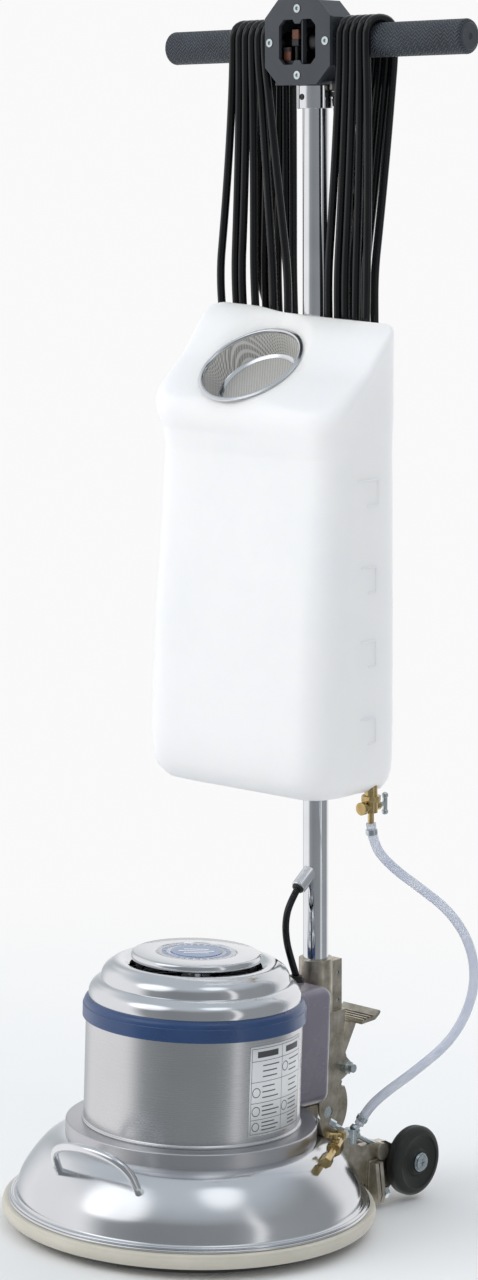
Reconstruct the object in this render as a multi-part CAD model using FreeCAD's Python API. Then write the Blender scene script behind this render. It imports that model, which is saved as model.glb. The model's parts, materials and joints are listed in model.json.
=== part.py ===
import FreeCAD, Part
import math
import os
from FreeCAD import Vector

os.makedirs("parts", exist_ok=True)

# Rotary floor machine, millimetres. +Z is up, the floor is z = 0, the motor axis is the Z axis,
# the front is -Y and the operator stands at +Y. The handle is built upright in its own frame,
# with the tilt pivot at (0, 0, 0), and is then set at the pivot with its forward lean.

X, Y, Z = Vector(1, 0, 0), Vector(0, 1, 0), Vector(0, 0, 1)
ORIGIN = Vector(0, 0, 0)
FIT = 0.05              # radial running clearance
GAP = 0.3               # clearance between faces of different bodies

# driving dimensions of the drive unit
BUMPER_R, BUMPER_Z0, BUMPER_Z1 = 180.0, 10.0, 23.5
RIM_R, RIM_Z = 172.5, 23.5
DOME_HOLE_R, DOME_TOP_Z = 98.0, 86.0
DOME_SHOULDER_R, DOME_SHOULDER_Z = 166.0, 30.5
DOME_WALL = 2.0
COLLAR_R, COLLAR_Z1 = 121.0, 100.5
BODY_R, BODY_Z0, BODY_WALL = 104.0, 100.5, 2.0
BAND_R, BAND_Z0, BAND_Z1 = 107.2, 201.5, 221.0
CAP_R = 101.5
PLATE_Z0, PLATE_Z1 = 221.0, 224.0
DISC_R, DISC_Z0, DISC_Z1 = 62.5, 257.0, 264.5
POST_ORBIT = 54.0
BRUSH_R, BLOCK_Z0, BLOCK_Z1 = 152.0, 22.0, 36.0
SHAFT_R = 8.0
BOX_HALF, BOX_BACK, BOX_Z0, BOX_Z1 = 48.0, 151.0, 98.0, 215.0
GROMMET_Y = 139.0
GROMMET_X = 6.0

# planetary gear train
MODULE = 1.5
SUN_TEETH, PLANET_TEETH, RING_TEETH = 12, 33, 78
PLANETS = 3
GEAR_Z0, GEAR_Z1 = 74.0, 88.0
PLANET_ORBIT = MODULE * (SUN_TEETH + PLANET_TEETH) / 2.0
RING_OUT_R = MODULE * RING_TEETH / 2.0 + 6.0
PLANET_PIN_R = 6.0

# driving dimensions of the running gear
PIVOT = Vector(0, 183.0, 76.0)
LEAN = 2.88             # degrees that the parked handle leans forward
SECTOR_R, SECTOR_HALF = 38.0, 9.5
CHEEK_IN, CHEEK_OUT = 10.0, 17.0
PIVOT_BOLT_R = 6.0
WHEEL_R, WHEEL_X, WHEEL_T = 34.5, 102.0, 18.0
WHEEL_Y, WHEEL_Z = 214.5, 39.5
AXLE_R = 6.0
ARM_X0, ARM_X1 = 82.0, 91.0

# driving dimensions of the handle, from the pivot, before its lean
POLE_R, POLE_WALL, POLE_Z0, POLE_Z1 = 12.7, 1.6, 103.0, 1014.0
SLEEVE_R, SLEEVE_Z0, SLEEVE_Z1 = 17.0, 100.0, 157.0
PEDAL_PIVOT = (25.0, 42.0)
PEDAL_BOLT_R = 4.0
PLUNGER_X, PLUNGER_Y, PLUNGER_R, CAM_R = -9.0, -16.6, 1.9, 14.0
HEAD_Z, HEAD_HALF_W, HEAD_HALF_H, HEAD_CUT = 1054.0, 41.0, 40.0, 17.0
HEAD_Y0, HEAD_Y1 = -23.0, 18.0
BAR_R, BAR_HALF, GRIP_R, GRIP_X0 = 11.0, 186.0, 16.0, 43.0
TANK_BACK, TANK_Z0, TANK_WALL = -16.6, 344.0, 3.5
FILLER = Vector(-22.0, -69.0, 750.0)
FILLER_NORMAL = Vector(0.05, -0.60, 0.80)
FILLER_R, STRAINER_DEPTH, STRAINER_TAPER = 53.0, 24.0, 8.0
VALVE_X, VALVE_Y, HOSE_TOP = 105.0, -40.0, 316.0
OUTLET_Z, OUTLET_MOUTH = 250.0, (0, -26.5, 233.0)
HOOK_Y, HOOK_Z, HOOK_REACH = 12.0, 500.0, 70.5
CORD_D, CABLE_D, HOSE_D = 8.0, 7.0, 9.5


def box(x0, x1, y0, y1, z0, z1):
    return Part.makeBox(x1 - x0, y1 - y0, z1 - z0, Vector(x0, y0, z0))


def cyl(r, a, b):
    """A round bar of radius r from point a to point b."""
    a, b = Vector(*a), Vector(*b)
    return Part.makeCylinder(r, (b - a).Length, a, b - a)


def tube(r_out, r_in, a, b):
    return cyl(r_out, a, b).cut(cyl(r_in, a, b))


def wire(points, start):
    """Edges from start through each move: a point is a line, a pair (mid, end) is an arc."""
    edges, here = [], start
    for move in points:
        if isinstance(move[0], tuple):
            mid, end = move
            edges.append(Part.Arc(to3(here), to3(mid), to3(end)).toShape())
        else:
            end = move
            edges.append(Part.makeLine(to3(here), to3(end)))
        here = end
    if to3(here).distanceToPoint(to3(start)) > 1e-6:
        edges.append(Part.makeLine(to3(here), to3(start)))
    return Part.Wire(edges)


def to3(p):
    return Vector(p[0], 0, p[1])


def turned(start, *moves):
    """A solid of revolution about Z, from an outline of (radius, z) points and arcs."""
    return Part.Face(wire(moves, start)).revolve(ORIGIN, Z, 360)


def slab_x(points, x0, x1):
    """An outline of (y, z) points, extruded along X."""
    ring = Part.makePolygon([Vector(x0, y, z) for y, z in points + points[:1]])
    return Part.Face(ring).extrude(Vector(x1 - x0, 0, 0))


def slab_y(points, y0, y1):
    """An outline of (x, z) points, extruded along Y."""
    ring = Part.makePolygon([Vector(x, y0, z) for x, z in points + points[:1]])
    return Part.Face(ring).extrude(Vector(0, y1 - y0, 0))


def slab_z(points, z0, z1):
    """An outline of (x, y) points, extruded along Z."""
    ring = Part.makePolygon([Vector(x, y, z0) for x, y in points + points[:1]])
    return Part.Face(ring).extrude(Vector(0, 0, z1 - z0))


def hexagon(across, a, b):
    """A hexagonal bar of the given width across flats from a to b."""
    a, b = Vector(*a), Vector(*b)
    r = across / math.sqrt(3)
    ring = [Vector(r * math.cos(k * math.pi / 3), r * math.sin(k * math.pi / 3), 0) for k in range(7)]
    bar = Part.Face(Part.makePolygon(ring)).extrude(Vector(0, 0, (b - a).Length))
    bar.Placement = FreeCAD.Placement(a, FreeCAD.Rotation(Z, b - a))
    return bar


def fused(*shapes):
    return shapes[0].fuse(list(shapes[1:])).removeSplitter()


def mirrored(shape):
    return shape.mirror(ORIGIN, X)


def both_sides(*shapes):
    return [side for shape in shapes for side in (shape, mirrored(shape))]


def around(shape, count, first=0.0):
    """Copies of a shape, evenly spaced about Z."""
    out = []
    for k in range(count):
        piece = shape.copy()
        piece.rotate(ORIGIN, Z, first + k * 360.0 / count)
        out.append(piece)
    return out


def on_handle(shape):
    """Moves a shape from the upright handle frame to its place on the machine."""
    placed = shape.copy()
    placed.rotate(ORIGIN, X, LEAN)
    placed.translate(PIVOT)
    return placed


def handle_point(p):
    turn = FreeCAD.Rotation(X, LEAN)
    return PIVOT + turn.multVec(Vector(*p))


def save(name, *shapes):
    solids = []
    for shape in shapes:
        solids += shape.Solids
    out = solids[0] if len(solids) == 1 else Part.makeCompound(solids)
    assert out.isValid(), name
    out.exportStep("parts/%s.step" % name)
    print("%-22s %2d solids %9.0f mm3" % (name, len(solids), out.Volume))


# ---------------------------------------------------------------- covers of the drive unit

def dome_profile(s):
    """Start and arcs of the dome's skin, from the top down to the shoulder, moved inward by s."""
    c = 0.6 * s
    return (COLLAR_R - 2.0, DOME_TOP_Z - s), [
        (COLLAR_R, DOME_TOP_Z - s),
        ((135.0 - c, 81.2 - s), (145.0 - c, 72.6 - s)),
        ((154.3 - s, 60.6 - c), (162.0 - s, 47.8 - c)),
        ((165.0 - s, 39.0), (DOME_SHOULDER_R - s, DOME_SHOULDER_Z))]


def make_dome():
    """The chromed dome skin, with a flared rim that ends in two rolled beads."""
    top, outer = dome_profile(0)
    inner_top, inner = dome_profile(DOME_WALL)
    rim = [((167.2, 28.2), (169.8, 27.6)), ((172.4, 28.4), (172.4, 26.2)), ((174.42, 24.95), (173.0, RIM_Z)),
           (165.4, RIM_Z), ((164.2, 26.0), (DOME_SHOULDER_R - DOME_WALL, DOME_SHOULDER_Z))]
    points = [top] + outer + rim + reverse_run(inner_top, inner) + [(DOME_HOLE_R, DOME_TOP_Z - DOME_WALL)]
    return turned((DOME_HOLE_R, DOME_TOP_Z), *points)


def reverse_run(start, moves):
    """The moves that go back along a run of points and arcs, from its end to its start."""
    stops = [start] + [m[1] if isinstance(m[0], tuple) else m for m in moves]
    back = []
    for k in range(len(moves) - 1, -1, -1):
        move = moves[k]
        back.append((move[0], stops[k]) if isinstance(move[0], tuple) else stops[k])
    return back


def make_bumper():
    return turned((163.5, BUMPER_Z0 + 1.0), (BUMPER_R - 3.0, BUMPER_Z0),
                  ((BUMPER_R, BUMPER_Z0 + 5.0), (BUMPER_R - 1.0, BUMPER_Z1 - 2.5)),
                  ((BUMPER_R - 1.8, BUMPER_Z1 - 0.6), (BUMPER_R - 3.0, BUMPER_Z1)), (163.5, BUMPER_Z1))


def make_collar():
    """A flanged steel ring that stands on the dome and carries the motor body."""
    wall = 3.0
    return turned((COLLAR_R - wall, DOME_TOP_Z), (COLLAR_R, DOME_TOP_Z), (COLLAR_R, COLLAR_Z1 - 1.5),
                  ((COLLAR_R - 0.5, COLLAR_Z1 - 0.5), (COLLAR_R - 1.5, COLLAR_Z1)),
                  (DOME_HOLE_R, COLLAR_Z1), (DOME_HOLE_R, COLLAR_Z1 - 2.5), (COLLAR_R - wall, COLLAR_Z1 - 2.5))


def make_body():
    return turned((BODY_R - BODY_WALL, BODY_Z0), (BODY_R + 1.0, BODY_Z0),
                  ((BODY_R + 1.6, BODY_Z0 + 1.2), (BODY_R + 0.6, BODY_Z0 + 2.4)),
                  (BODY_R, BODY_Z0 + 3.2), (BODY_R, BAND_Z0), (BODY_R - BODY_WALL, BAND_Z0))


def make_band():
    return turned((95.5, BAND_Z0), (BAND_R - 0.6, BAND_Z0), (BAND_R, BAND_Z0 + 0.8), (BAND_R, 213.4),
                  ((BAND_R - 0.2, 214.2), (BAND_R - 0.9, 214.6)),
                  ((BAND_R - 2.2, 219.0), (CAP_R + 0.4, BAND_Z1)), (95.5, BAND_Z1))


def make_cap():
    """The stepped motor cap: two swollen steps and a mouth under the top disc."""
    return turned((CAP_R - 1.8, BAND_Z1), (CAP_R, BAND_Z1), ((101.0, 229.6), (96.5, 235.2)), (90.6, 238.6),
                  ((88.6, 247.0), (82.5, 252.8)), ((75.5, 256.4), (68.0, 254.8)), (63.5, 251.5), (63.5, 249.5),
                  (65.5, 249.5), (69.0, 252.9), ((75.0, 254.3), (81.2, 251.2)), ((86.8, 246.0), (88.8, 237.6)),
                  (95.2, 233.6), ((99.2, 228.6), (CAP_R - 1.8, BAND_Z1)))


def make_top_disc():
    """The rain disc over the air inlet, on four posts, with a shallow seat for the badge."""
    seat_z = DISC_Z1 - 1.2
    disc = turned((0, DISC_Z0 + 1.6), (56.0, DISC_Z0 + 1.6), (57.0, DISC_Z0), (DISC_R - 1.0, DISC_Z0),
                  ((DISC_R, DISC_Z0 + 3.0), (DISC_R - 1.2, DISC_Z1 - 0.8)), (DISC_R - 3.0, DISC_Z1),
                  (39.5, DISC_Z1), (38.5, seat_z), (0, seat_z))
    post = cyl(4.0, (POST_ORBIT, 0, PLATE_Z1), (POST_ORBIT, 0, DISC_Z0 + 2.0))
    return fused(disc, *around(post, 4, 45.0))


def make_badge():
    return turned((0, DISC_Z1 - 1.2), (38.0, DISC_Z1 - 1.2), (38.0, DISC_Z1 - 0.4), (36.0, DISC_Z1 - 0.1),
                  (25.5, DISC_Z1 - 0.1), (24.5, DISC_Z1 - 0.6), (24.0, DISC_Z1), (0, DISC_Z1 + 0.3))


def make_intake_plate():
    """The end plate under the cap, with vent slots and the top bearing's seat."""
    plate = tube(99.4, 17.5, (0, 0, PLATE_Z0), (0, 0, PLATE_Z1))
    seat = tube(22.0, 17.5, (0, 0, 208.0), (0, 0, PLATE_Z1))
    slots = around(box(26.0, 42.0, -2.5, 2.5, PLATE_Z0 - 1, PLATE_Z1 + 1), 16, 11.25)
    return fused(plate, seat).cut(Part.makeCompound(slots))


# ---------------------------------------------------------------- motor

def make_stator():
    core = tube(84.0, 48.0, (0, 0, 124.0), (0, 0, 184.0))
    slots = around(box(47.0, 60.0, -2.2, 2.2, 123.0, 185.0), 24)
    return core.cut(Part.makeCompound(slots))


def winding_head(z0, z1):
    mid = (z0 + z1) / 2.0
    return turned((52.0, z0), (70.0, z0), ((76.0, mid), (70.0, z1)), (52.0, z1), ((49.0, mid), (52.0, z0)))


def make_rotor():
    core = tube(46.0, SHAFT_R, (0, 0, 124.0), (0, 0, 184.0))
    bottom = tube(44.0, 26.0, (0, 0, 118.0), (0, 0, 124.0))
    top = tube(44.0, 26.0, (0, 0, 184.0), (0, 0, 190.0))
    return fused(core, bottom, top)


def make_shaft():
    """Rotor shaft, turned down to the pinion below and to the fan above, with the sun pinion on it."""
    sun = gear_blank(SUN_TEETH, GEAR_Z0, GEAR_Z1)
    return fused(cyl(SHAFT_R, (0, 0, GEAR_Z1), (0, 0, 206.0)),
                 cyl(SHAFT_R - 1.0, (0, 0, 206.0), (0, 0, 242.0)), sun)


def make_fan():
    """The cooling fan on the shaft's upper end."""
    hub = tube(14.0, SHAFT_R - 1.0, (0, 0, 229.0), (0, 0, 241.0))
    disc = tube(46.0, 13.0, (0, 0, 229.0), (0, 0, 230.5))
    blade = box(20.0, 43.0, -0.8, 0.8, 230.5, 241.0)
    blade.rotate(Vector(20.0, 0, 0), Z, 20.0)
    return fused(hub, disc, *around(blade, 9))


def bearing(r_in, r_out, z0, z1):
    """A ball bearing as inner ring, outer ring and a shielded middle, in one solid."""
    mid_in = r_in + (r_out - r_in) * 0.33
    mid_out = r_in + (r_out - r_in) * 0.67
    return fused(tube(mid_in, r_in, (0, 0, z0), (0, 0, z1)), tube(r_out, mid_out, (0, 0, z0), (0, 0, z1)),
                 tube(mid_out, mid_in, (0, 0, z0 + 0.8), (0, 0, z1 - 0.8)))


# ---------------------------------------------------------------- gearbox

def involute(base_r, r):
    """Roll angle position of the involute at radius r, as a polar angle."""
    if r <= base_r:
        return 0.0
    t = math.sqrt((r / base_r) ** 2 - 1.0)
    return t - math.atan(t)


def tooth_ring(teeth, root_r, tip_r, half_width, turn=0.0):
    """Corner points of a gear's outline. half_width is the half tooth angle at the pitch circle."""
    pitch_r = MODULE * teeth / 2.0
    base_r = pitch_r * math.cos(math.radians(20.0))
    at_pitch = involute(base_r, pitch_r)
    low, high = min(root_r, tip_r), max(root_r, tip_r)
    radii = [low, max(low, base_r), pitch_r, high] if low < base_r else [low, pitch_r, high]
    points = []
    for k in range(teeth):
        centre = turn + 2.0 * math.pi * k / teeth
        flank = [(r, half_width + at_pitch - involute(base_r, r)) for r in radii]
        for r, a in flank:
            points.append((r * math.cos(centre - a), r * math.sin(centre - a)))
        for r, a in reversed(flank):
            points.append((r * math.cos(centre + a), r * math.sin(centre + a)))
    return points


def gear_blank(teeth, z0, z1, turn=0.0):
    pitch_r = MODULE * teeth / 2.0
    half = math.pi / teeth / 2.0 * 0.86
    points = tooth_ring(teeth, pitch_r - 1.25 * MODULE, pitch_r + 0.85 * MODULE, half, turn)
    return slab_z(points, z0, z1)


def make_planet(k):
    """A planet in mesh with the sun, whose first tooth points along +X."""
    angle = 2.0 * math.pi * k / PLANETS
    turn = angle + math.pi - math.pi / PLANET_TEETH + angle * SUN_TEETH / PLANET_TEETH
    planet = gear_blank(PLANET_TEETH, GEAR_Z0, GEAR_Z1, turn)
    planet = planet.cut(cyl(PLANET_PIN_R + FIT, (0, 0, GEAR_Z0 - 1), (0, 0, GEAR_Z1 + 1)))
    planet.translate(Vector(PLANET_ORBIT * math.cos(angle), PLANET_ORBIT * math.sin(angle), 0))
    return planet


def make_ring_gear():
    """The fixed internal gear: its tooth spaces are the teeth of an external outline."""
    pitch_r = MODULE * RING_TEETH / 2.0
    half = math.pi / RING_TEETH / 2.0 * 1.14
    outline = tooth_ring(RING_TEETH, pitch_r - 0.85 * MODULE, pitch_r + 1.25 * MODULE, half, ring_turn())
    spaces = slab_z(outline, GEAR_Z0 - 1, GEAR_Z1 + 1)
    return cyl(RING_OUT_R, (0, 0, GEAR_Z0), (0, 0, GEAR_Z1)).cut(spaces)


def ring_turn():
    """Angle of a tooth space that takes the outward tooth of the first planet."""
    planet_turn = math.pi - math.pi / PLANET_TEETH
    step = 2.0 * math.pi / PLANET_TEETH
    nearest = planet_turn - step * round(planet_turn / step)
    return nearest * PLANET_TEETH / RING_TEETH


def make_gearbox_housing():
    """A cup round the gear train, with a flange under the collar and the lower bearing's seat."""
    return turned((17.5, 92.0), (17.5, 104.0), (96.0, 104.0), (96.0, 98.0), (117.8, 98.0), (117.8, 94.0),
                  (90.0, 92.0), (90.0, 68.0), (RING_OUT_R, 68.0), (RING_OUT_R, 91.0), (24.0, 91.0), (24.0, 92.0))


def make_motor_seat():
    """The sleeve that stands on the gearbox and carries the stator."""
    wall = tube(86.0, 84.0, (0, 0, 104.0), (0, 0, 184.0))
    foot = tube(96.0, 62.0, (0, 0, 104.0), (0, 0, 107.0))
    return fused(wall, foot)


def make_gear_cover():
    """The gearbox's bottom plate, with the output shaft's bearing bore."""
    return tube(89.0, 18.0 + FIT, (0, 0, 60.0), (0, 0, 68.0))


def make_carrier():
    """Planet carrier: the disc with the planet pins, and the output shaft to the brush."""
    disc = cyl(50.0, (0, 0, 68.5), (0, 0, 73.5))
    pin = cyl(PLANET_PIN_R, (PLANET_ORBIT, 0, 73.5), (PLANET_ORBIT, 0, 88.5))
    shaft = cyl(18.0, (0, 0, 46.0), (0, 0, 68.5))
    return fused(disc, shaft, *around(pin, PLANETS))


def make_driver():
    """The clutch plate under the output shaft, with three lugs that lock into the brush block."""
    plate = fused(cyl(60.0, (0, 0, 40.0), (0, 0, 46.0)), cyl(24.0, (0, 0, 36.0), (0, 0, 40.0)))
    lug = box(40.0, 54.0, -9.0, 9.0, 30.0, 40.0)
    return fused(plate, *around(lug, 3))


def make_brush_block():
    block = turned((32.0, BLOCK_Z0), (BRUSH_R - 4.0, BLOCK_Z0), (BRUSH_R - 2.0, BLOCK_Z0 + 3.0),
                   (BRUSH_R - 6.0, BLOCK_Z1), (32.0, BLOCK_Z1))
    pockets = around(box(39.7, 54.3, -9.3, 9.3, 29.7, BLOCK_Z1 + 1.0), 3)
    return block.cut(Part.makeCompound(pockets))


def make_bristles():
    """The bristle ring, splayed a little where it stands on the floor."""
    return turned((50.0, BLOCK_Z0), (50.0, 0), (BRUSH_R + 4.0, 0), (BRUSH_R + 6.0, 4.0), (BRUSH_R - 6.0, BLOCK_Z0))


# ---------------------------------------------------------------- on the drive unit

def make_capacitor_box():
    """The capacitor box behind the motor: a deep-drawn lid, open towards the motor."""
    outer = box(-BOX_HALF, BOX_HALF, 84.0, BOX_BACK, BOX_Z0, BOX_Z1)
    outer = outer.makeFillet(11.0, [e for e in outer.Edges if e.CenterOfMass.y > 100.0])
    inner = box(3.0 - BOX_HALF, BOX_HALF - 3.0, 80.0, BOX_BACK - 3.0, BOX_Z0 + 3.0, BOX_Z1 - 3.0)
    inner = inner.makeFillet(8.0, [e for e in inner.Edges if e.CenterOfMass.y > 100.0])
    motor = fused(cyl(BODY_R + 0.3, (0, 0, 90.0), (0, 0, 240.0)), cyl(BAND_R + 0.3, (0, 0, 200.0), (0, 0, 240.0)),
                  cyl(COLLAR_R + 0.3, (0, 0, 80.0), (0, 0, COLLAR_Z1 + 0.3)), cyl(BODY_R + 2.0, (0, 0, 90.0), (0, 0, BODY_Z0 + 3.4)))
    return outer.cut([inner, motor, cyl(5.0, (GROMMET_X, GROMMET_Y, 200.0), (GROMMET_X, GROMMET_Y, 226.0))])


def make_cable_grommet():
    """Rubber grommet where the motor cable enters the box's top."""
    top = (GROMMET_X, GROMMET_Y, BOX_Z1 + 6.0)
    flange = cyl(8.5, (GROMMET_X, GROMMET_Y, BOX_Z1), (GROMMET_X, GROMMET_Y, BOX_Z1 + 3.0))
    neck = cyl(6.0, (GROMMET_X, GROMMET_Y, BOX_Z1), top)
    stem = cyl(4.95, (GROMMET_X, GROMMET_Y, BOX_Z1 - 6.0), (GROMMET_X, GROMMET_Y, BOX_Z1))
    return fused(flange, neck, stem)


def make_capacitor():
    can = cyl(16.0, (24.0, 126.0, 106.0), (24.0, 126.0, 180.0))
    lugs = [box(24.0 + s * 7 - 1.5, 24.0 + s * 7 + 1.5, 122.5, 129.5, 180.0, 188.0) for s in (-1, 1)]
    return fused(can, *lugs)


def make_carry_handle():
    """A chrome rod loop on the front of the dome, standing up and out from it."""
    half, rod_r, corner, turn = 47.0, 4.0, 17.0, 6.0
    foot, top = Vector(-half, -134.0, 60.0), Vector(-half, -156.0, 97.0)
    lean = (top - foot).normalize()
    low, shoulder = top - lean * corner, Vector(corner - half, -158.0, 101.0)
    elbow = (low + shoulder) * 0.5 + (top - (low + shoulder) * 0.5) * 0.42
    crown = Vector(0, -160.0, 105.0)

    def flip(p):
        return Vector(-p.x, p.y, p.z)
    path = Part.Wire([Part.makeLine(foot, low), Part.Arc(low, elbow, shoulder).toShape(),
                      Part.Arc(shoulder, crown, flip(shoulder)).toShape(),
                      Part.Arc(flip(shoulder), flip(elbow), flip(low)).toShape(),
                      Part.makeLine(flip(low), flip(foot))])
    section = Part.Wire(Part.makeCircle(rod_r, foot, lean))
    rod = path.makePipeShell([section], True, True)
    rod.rotate(ORIGIN, Z, turn)
    return rod.cut(dome_inside())


def dome_inside():
    """Everything inside the dome's outer skin."""
    top, outer = dome_profile(0)
    return turned((0, DOME_TOP_Z), top, *outer, ((167.2, 28.2), (169.8, 27.6)), (169.8, 20.0), (0, 20.0))


def make_rating_plate():
    """A thin blank rating plate, curved round the right side of the motor body."""
    sheet = tube(BODY_R + 0.6, BODY_R, (0, 0, 109.0), (0, 0, 195.0))
    return sheet.common(slab_z([(0, 0), (220.0, -65.0), (220.0, 110.0)], 100.0, 200.0))


# ---------------------------------------------------------------- running gear

def rim_notches():
    """Notches in the sector's rim, one for each locking angle of the handle."""
    cuts = []
    for k in range(4):
        a = math.radians(78.0 - 14.0 * k)
        y, z = PIVOT.y + SECTOR_R * math.cos(a), PIVOT.z + SECTOR_R * math.sin(a)
        cuts.append(cyl(3.2, (-SECTOR_HALF - 1, y, z), (SECTOR_HALF + 1, y, z)))
    return cuts


def make_yoke():
    """Base casting: a saddle on the collar, and the notched sector that the handle's fork straddles."""
    sector = cyl(SECTOR_R, (-SECTOR_HALF, PIVOT.y, PIVOT.z), (SECTOR_HALF, PIVOT.y, PIVOT.z))
    web = slab_x([(110.0, 60.0), (110.0, 96.0), (146.0, 96.0), (183.0, 90.0), (183.0, 40.0), (160.0, 44.0)],
                 -SECTOR_HALF, SECTOR_HALF)
    saddle = box(-38.0, 38.0, 110.0, 130.0, 80.0, 96.0)
    ribs = [slab_x([(110.0, 70.0), (110.0, 94.0), (150.0, 92.0), (158.0, 60.0), (150.0, 50.0)], x, x + 4.0)
            for x in (-30.0, 26.0)]
    bolt = cyl(PIVOT_BOLT_R, (-30.0, PIVOT.y, PIVOT.z), (30.0, PIVOT.y, PIVOT.z))
    inside_collar = cyl(COLLAR_R, (0, 0, 70.0), (0, 0, 110.0))
    return fused(sector, web, saddle, *ribs).cut([bolt, inside_collar, dome_inside()] + rim_notches())


def make_pivot_bolt():
    """The tilt pivot: a bolt that ends flush in the right cheek, with its nut on the left."""
    reach = CHEEK_OUT + GAP
    nut = hexagon(19.0, (-reach - 8.0, PIVOT.y, PIVOT.z), (-reach, PIVOT.y, PIVOT.z))
    shank = cyl(PIVOT_BOLT_R, (-reach - 10.0, PIVOT.y, PIVOT.z), (CHEEK_OUT - 0.6, PIVOT.y, PIVOT.z))
    return fused(shank, nut)


FLANGE_BOLT_X, FLANGE_BOLT_Z, FLANGE_BACK = 100.5, 15.0, 169.5


def make_arm_bolts():
    """Bolts of the right arm: the small hexagon at the collar and the lower flange bolt with its nut."""
    x, y, z = FLANGE_BOLT_X, FLANGE_BACK, FLANGE_BOLT_Z
    small = fused(hexagon(7.0, (86.5, 84.0, 101.0), (86.5, 80.5, 105.6)), cyl(2.5, (86.5, 86.5, 97.7), (86.5, 84.0, 101.0)))
    large = fused(hexagon(11.0, (x, y, z), (x, y + 6.0, z)), cyl(3.0, (x, y - 6.0, z), (x, y + 8.0, z)))
    return (small.cut(cyl(COLLAR_R, (0, 0, 80.0), (0, 0, COLLAR_Z1 + 10.0))),
            large.cut(cyl(BUMPER_R + 0.4, (0, 0, 0), (0, 0, BUMPER_Z1 + 0.5))))


def make_wheel_arm():
    """Right wheel arm: a cast plate down the dome's flank, a bolted flange and the axle's boss."""
    plate = slab_x([(81.0, 105.0), (147.0, 64.0), (184.0, 63.0), (198.0, 56.0), (206.0, 54.0), (206.0, 25.0),
                    (182.0, 5.0), (162.0, 6.0), (142.0, 27.0), (121.0, 60.0), (89.0, 86.0)], ARM_X0, ARM_X1)
    axle_boss = cyl(15.0, (ARM_X0, WHEEL_Y, WHEEL_Z), (ARM_X1, WHEEL_Y, WHEEL_Z))
    web = slab_x([(194.0, 54.0), (216.0, 55.0), (218.0, 26.0), (194.0, 22.0)], ARM_X0, ARM_X1)
    flange_line = [(ARM_X0, 6.0), (104.0, 6.0), (106.0, 15.0), (101.0, 46.0), (ARM_X0, 48.0)]
    flange, flange_back = slab_y(flange_line, 158.0, 163.0), slab_y(flange_line, 164.5, FLANGE_BACK)
    cheek = slab_x([(157.0, 8.0), (170.0, 8.0), (170.0, 48.0), (157.0, 48.0)], ARM_X0, 93.5)
    boss = cyl(8.5, (76.0, 174.0, 55.0), (97.0, 174.0, 55.0))
    rib = slab_y([(62.0, 92.0), (86.0, 92.0), (86.0, 66.0)], 92.0, 97.0)
    cuts = [cyl(AXLE_R, (70.0, WHEEL_Y, WHEEL_Z), (100.0, WHEEL_Y, WHEEL_Z)), dome_inside(),
            cyl(BUMPER_R + 0.4, (0, 0, 0), (0, 0, BUMPER_Z1 + 0.5)), cyl(RIM_R + 3.0, (0, 0, 0), (0, 0, 28.8)),
            cyl(COLLAR_R, (0, 0, 80.0), (0, 0, 110.0)), *make_arm_bolts()]
    arm = fused(plate, axle_boss, web, flange, flange_back, cheek, boss, rib).cut(cuts)
    return max(arm.Solids, key=lambda solid: solid.Volume)


def make_axle():
    """The through axle of both wheels."""
    end = WHEEL_X + WHEEL_T / 2.0 + GAP
    return cyl(AXLE_R, (-end, WHEEL_Y, WHEEL_Z), (end, WHEEL_Y, WHEEL_Z))


def make_wheel_screw():
    """Flanged screw in the axle's end, with a cross recess."""
    x1 = WHEEL_X + WHEEL_T / 2.0 + GAP
    washer = cyl(9.5, (x1, WHEEL_Y, WHEEL_Z), (x1 + 1.2, WHEEL_Y, WHEEL_Z))
    head = cyl(8.0, (x1 + 1.2, WHEEL_Y, WHEEL_Z), (x1 + 3.4, WHEEL_Y, WHEEL_Z))
    cross = [box(x1 + 1.8, x1 + 5.0, WHEEL_Y - a, WHEEL_Y + a, WHEEL_Z - b, WHEEL_Z + b)
             for a, b in ((3.6, 0.7), (0.7, 3.6))]
    return fused(washer, head).cut(cross)


def wheel_part(start, *moves):
    """A turned wheel part, from a (radius, x) outline about the right axle."""
    part = turned(start, *moves)
    part.rotate(ORIGIN, Y, 90.0)
    part.translate(Vector(WHEEL_X, WHEEL_Y, WHEEL_Z))
    return part


def make_tyre():
    h = WHEEL_T / 2.0
    return wheel_part((13.0, -h + 2.0), (WHEEL_R - 6.0, -h), ((WHEEL_R - 1.0, -h + 3.0), (WHEEL_R, 0)),
                      ((WHEEL_R - 1.0, h - 3.0), (WHEEL_R - 6.0, h - 0.6)), ((22.0, h - 3.0), (15.5, h - 3.4)),
                      (13.0, h - 1.0))


def make_hub():
    h = WHEEL_T / 2.0
    return wheel_part((AXLE_R + FIT, -h), (12.6, -h), (13.0, -h + 2.0), (13.0, h - 1.0), (12.0, h), (AXLE_R + FIT, h))


# ---------------------------------------------------------------- handle, in its own upright frame

def make_pole():
    pole = tube(POLE_R, POLE_R - POLE_WALL, (0, 0, POLE_Z0), (0, 0, POLE_Z1))
    return pole.cut(cyl(5.0, (0, -20.0, OUTLET_Z), (0, 0, OUTLET_Z)))


def make_outlet():
    """The angled cable outlet on the front of the pole, with a plain bush in its mouth."""
    mouth, root = Vector(*OUTLET_MOUTH), Vector(0, -2.0, 251.5)
    body = Part.makeCylinder(7.6, (mouth - root).Length, root, mouth - root)
    return body.cut(cyl(POLE_R, (0, 0, 200.0), (0, 0, 300.0)))


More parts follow.
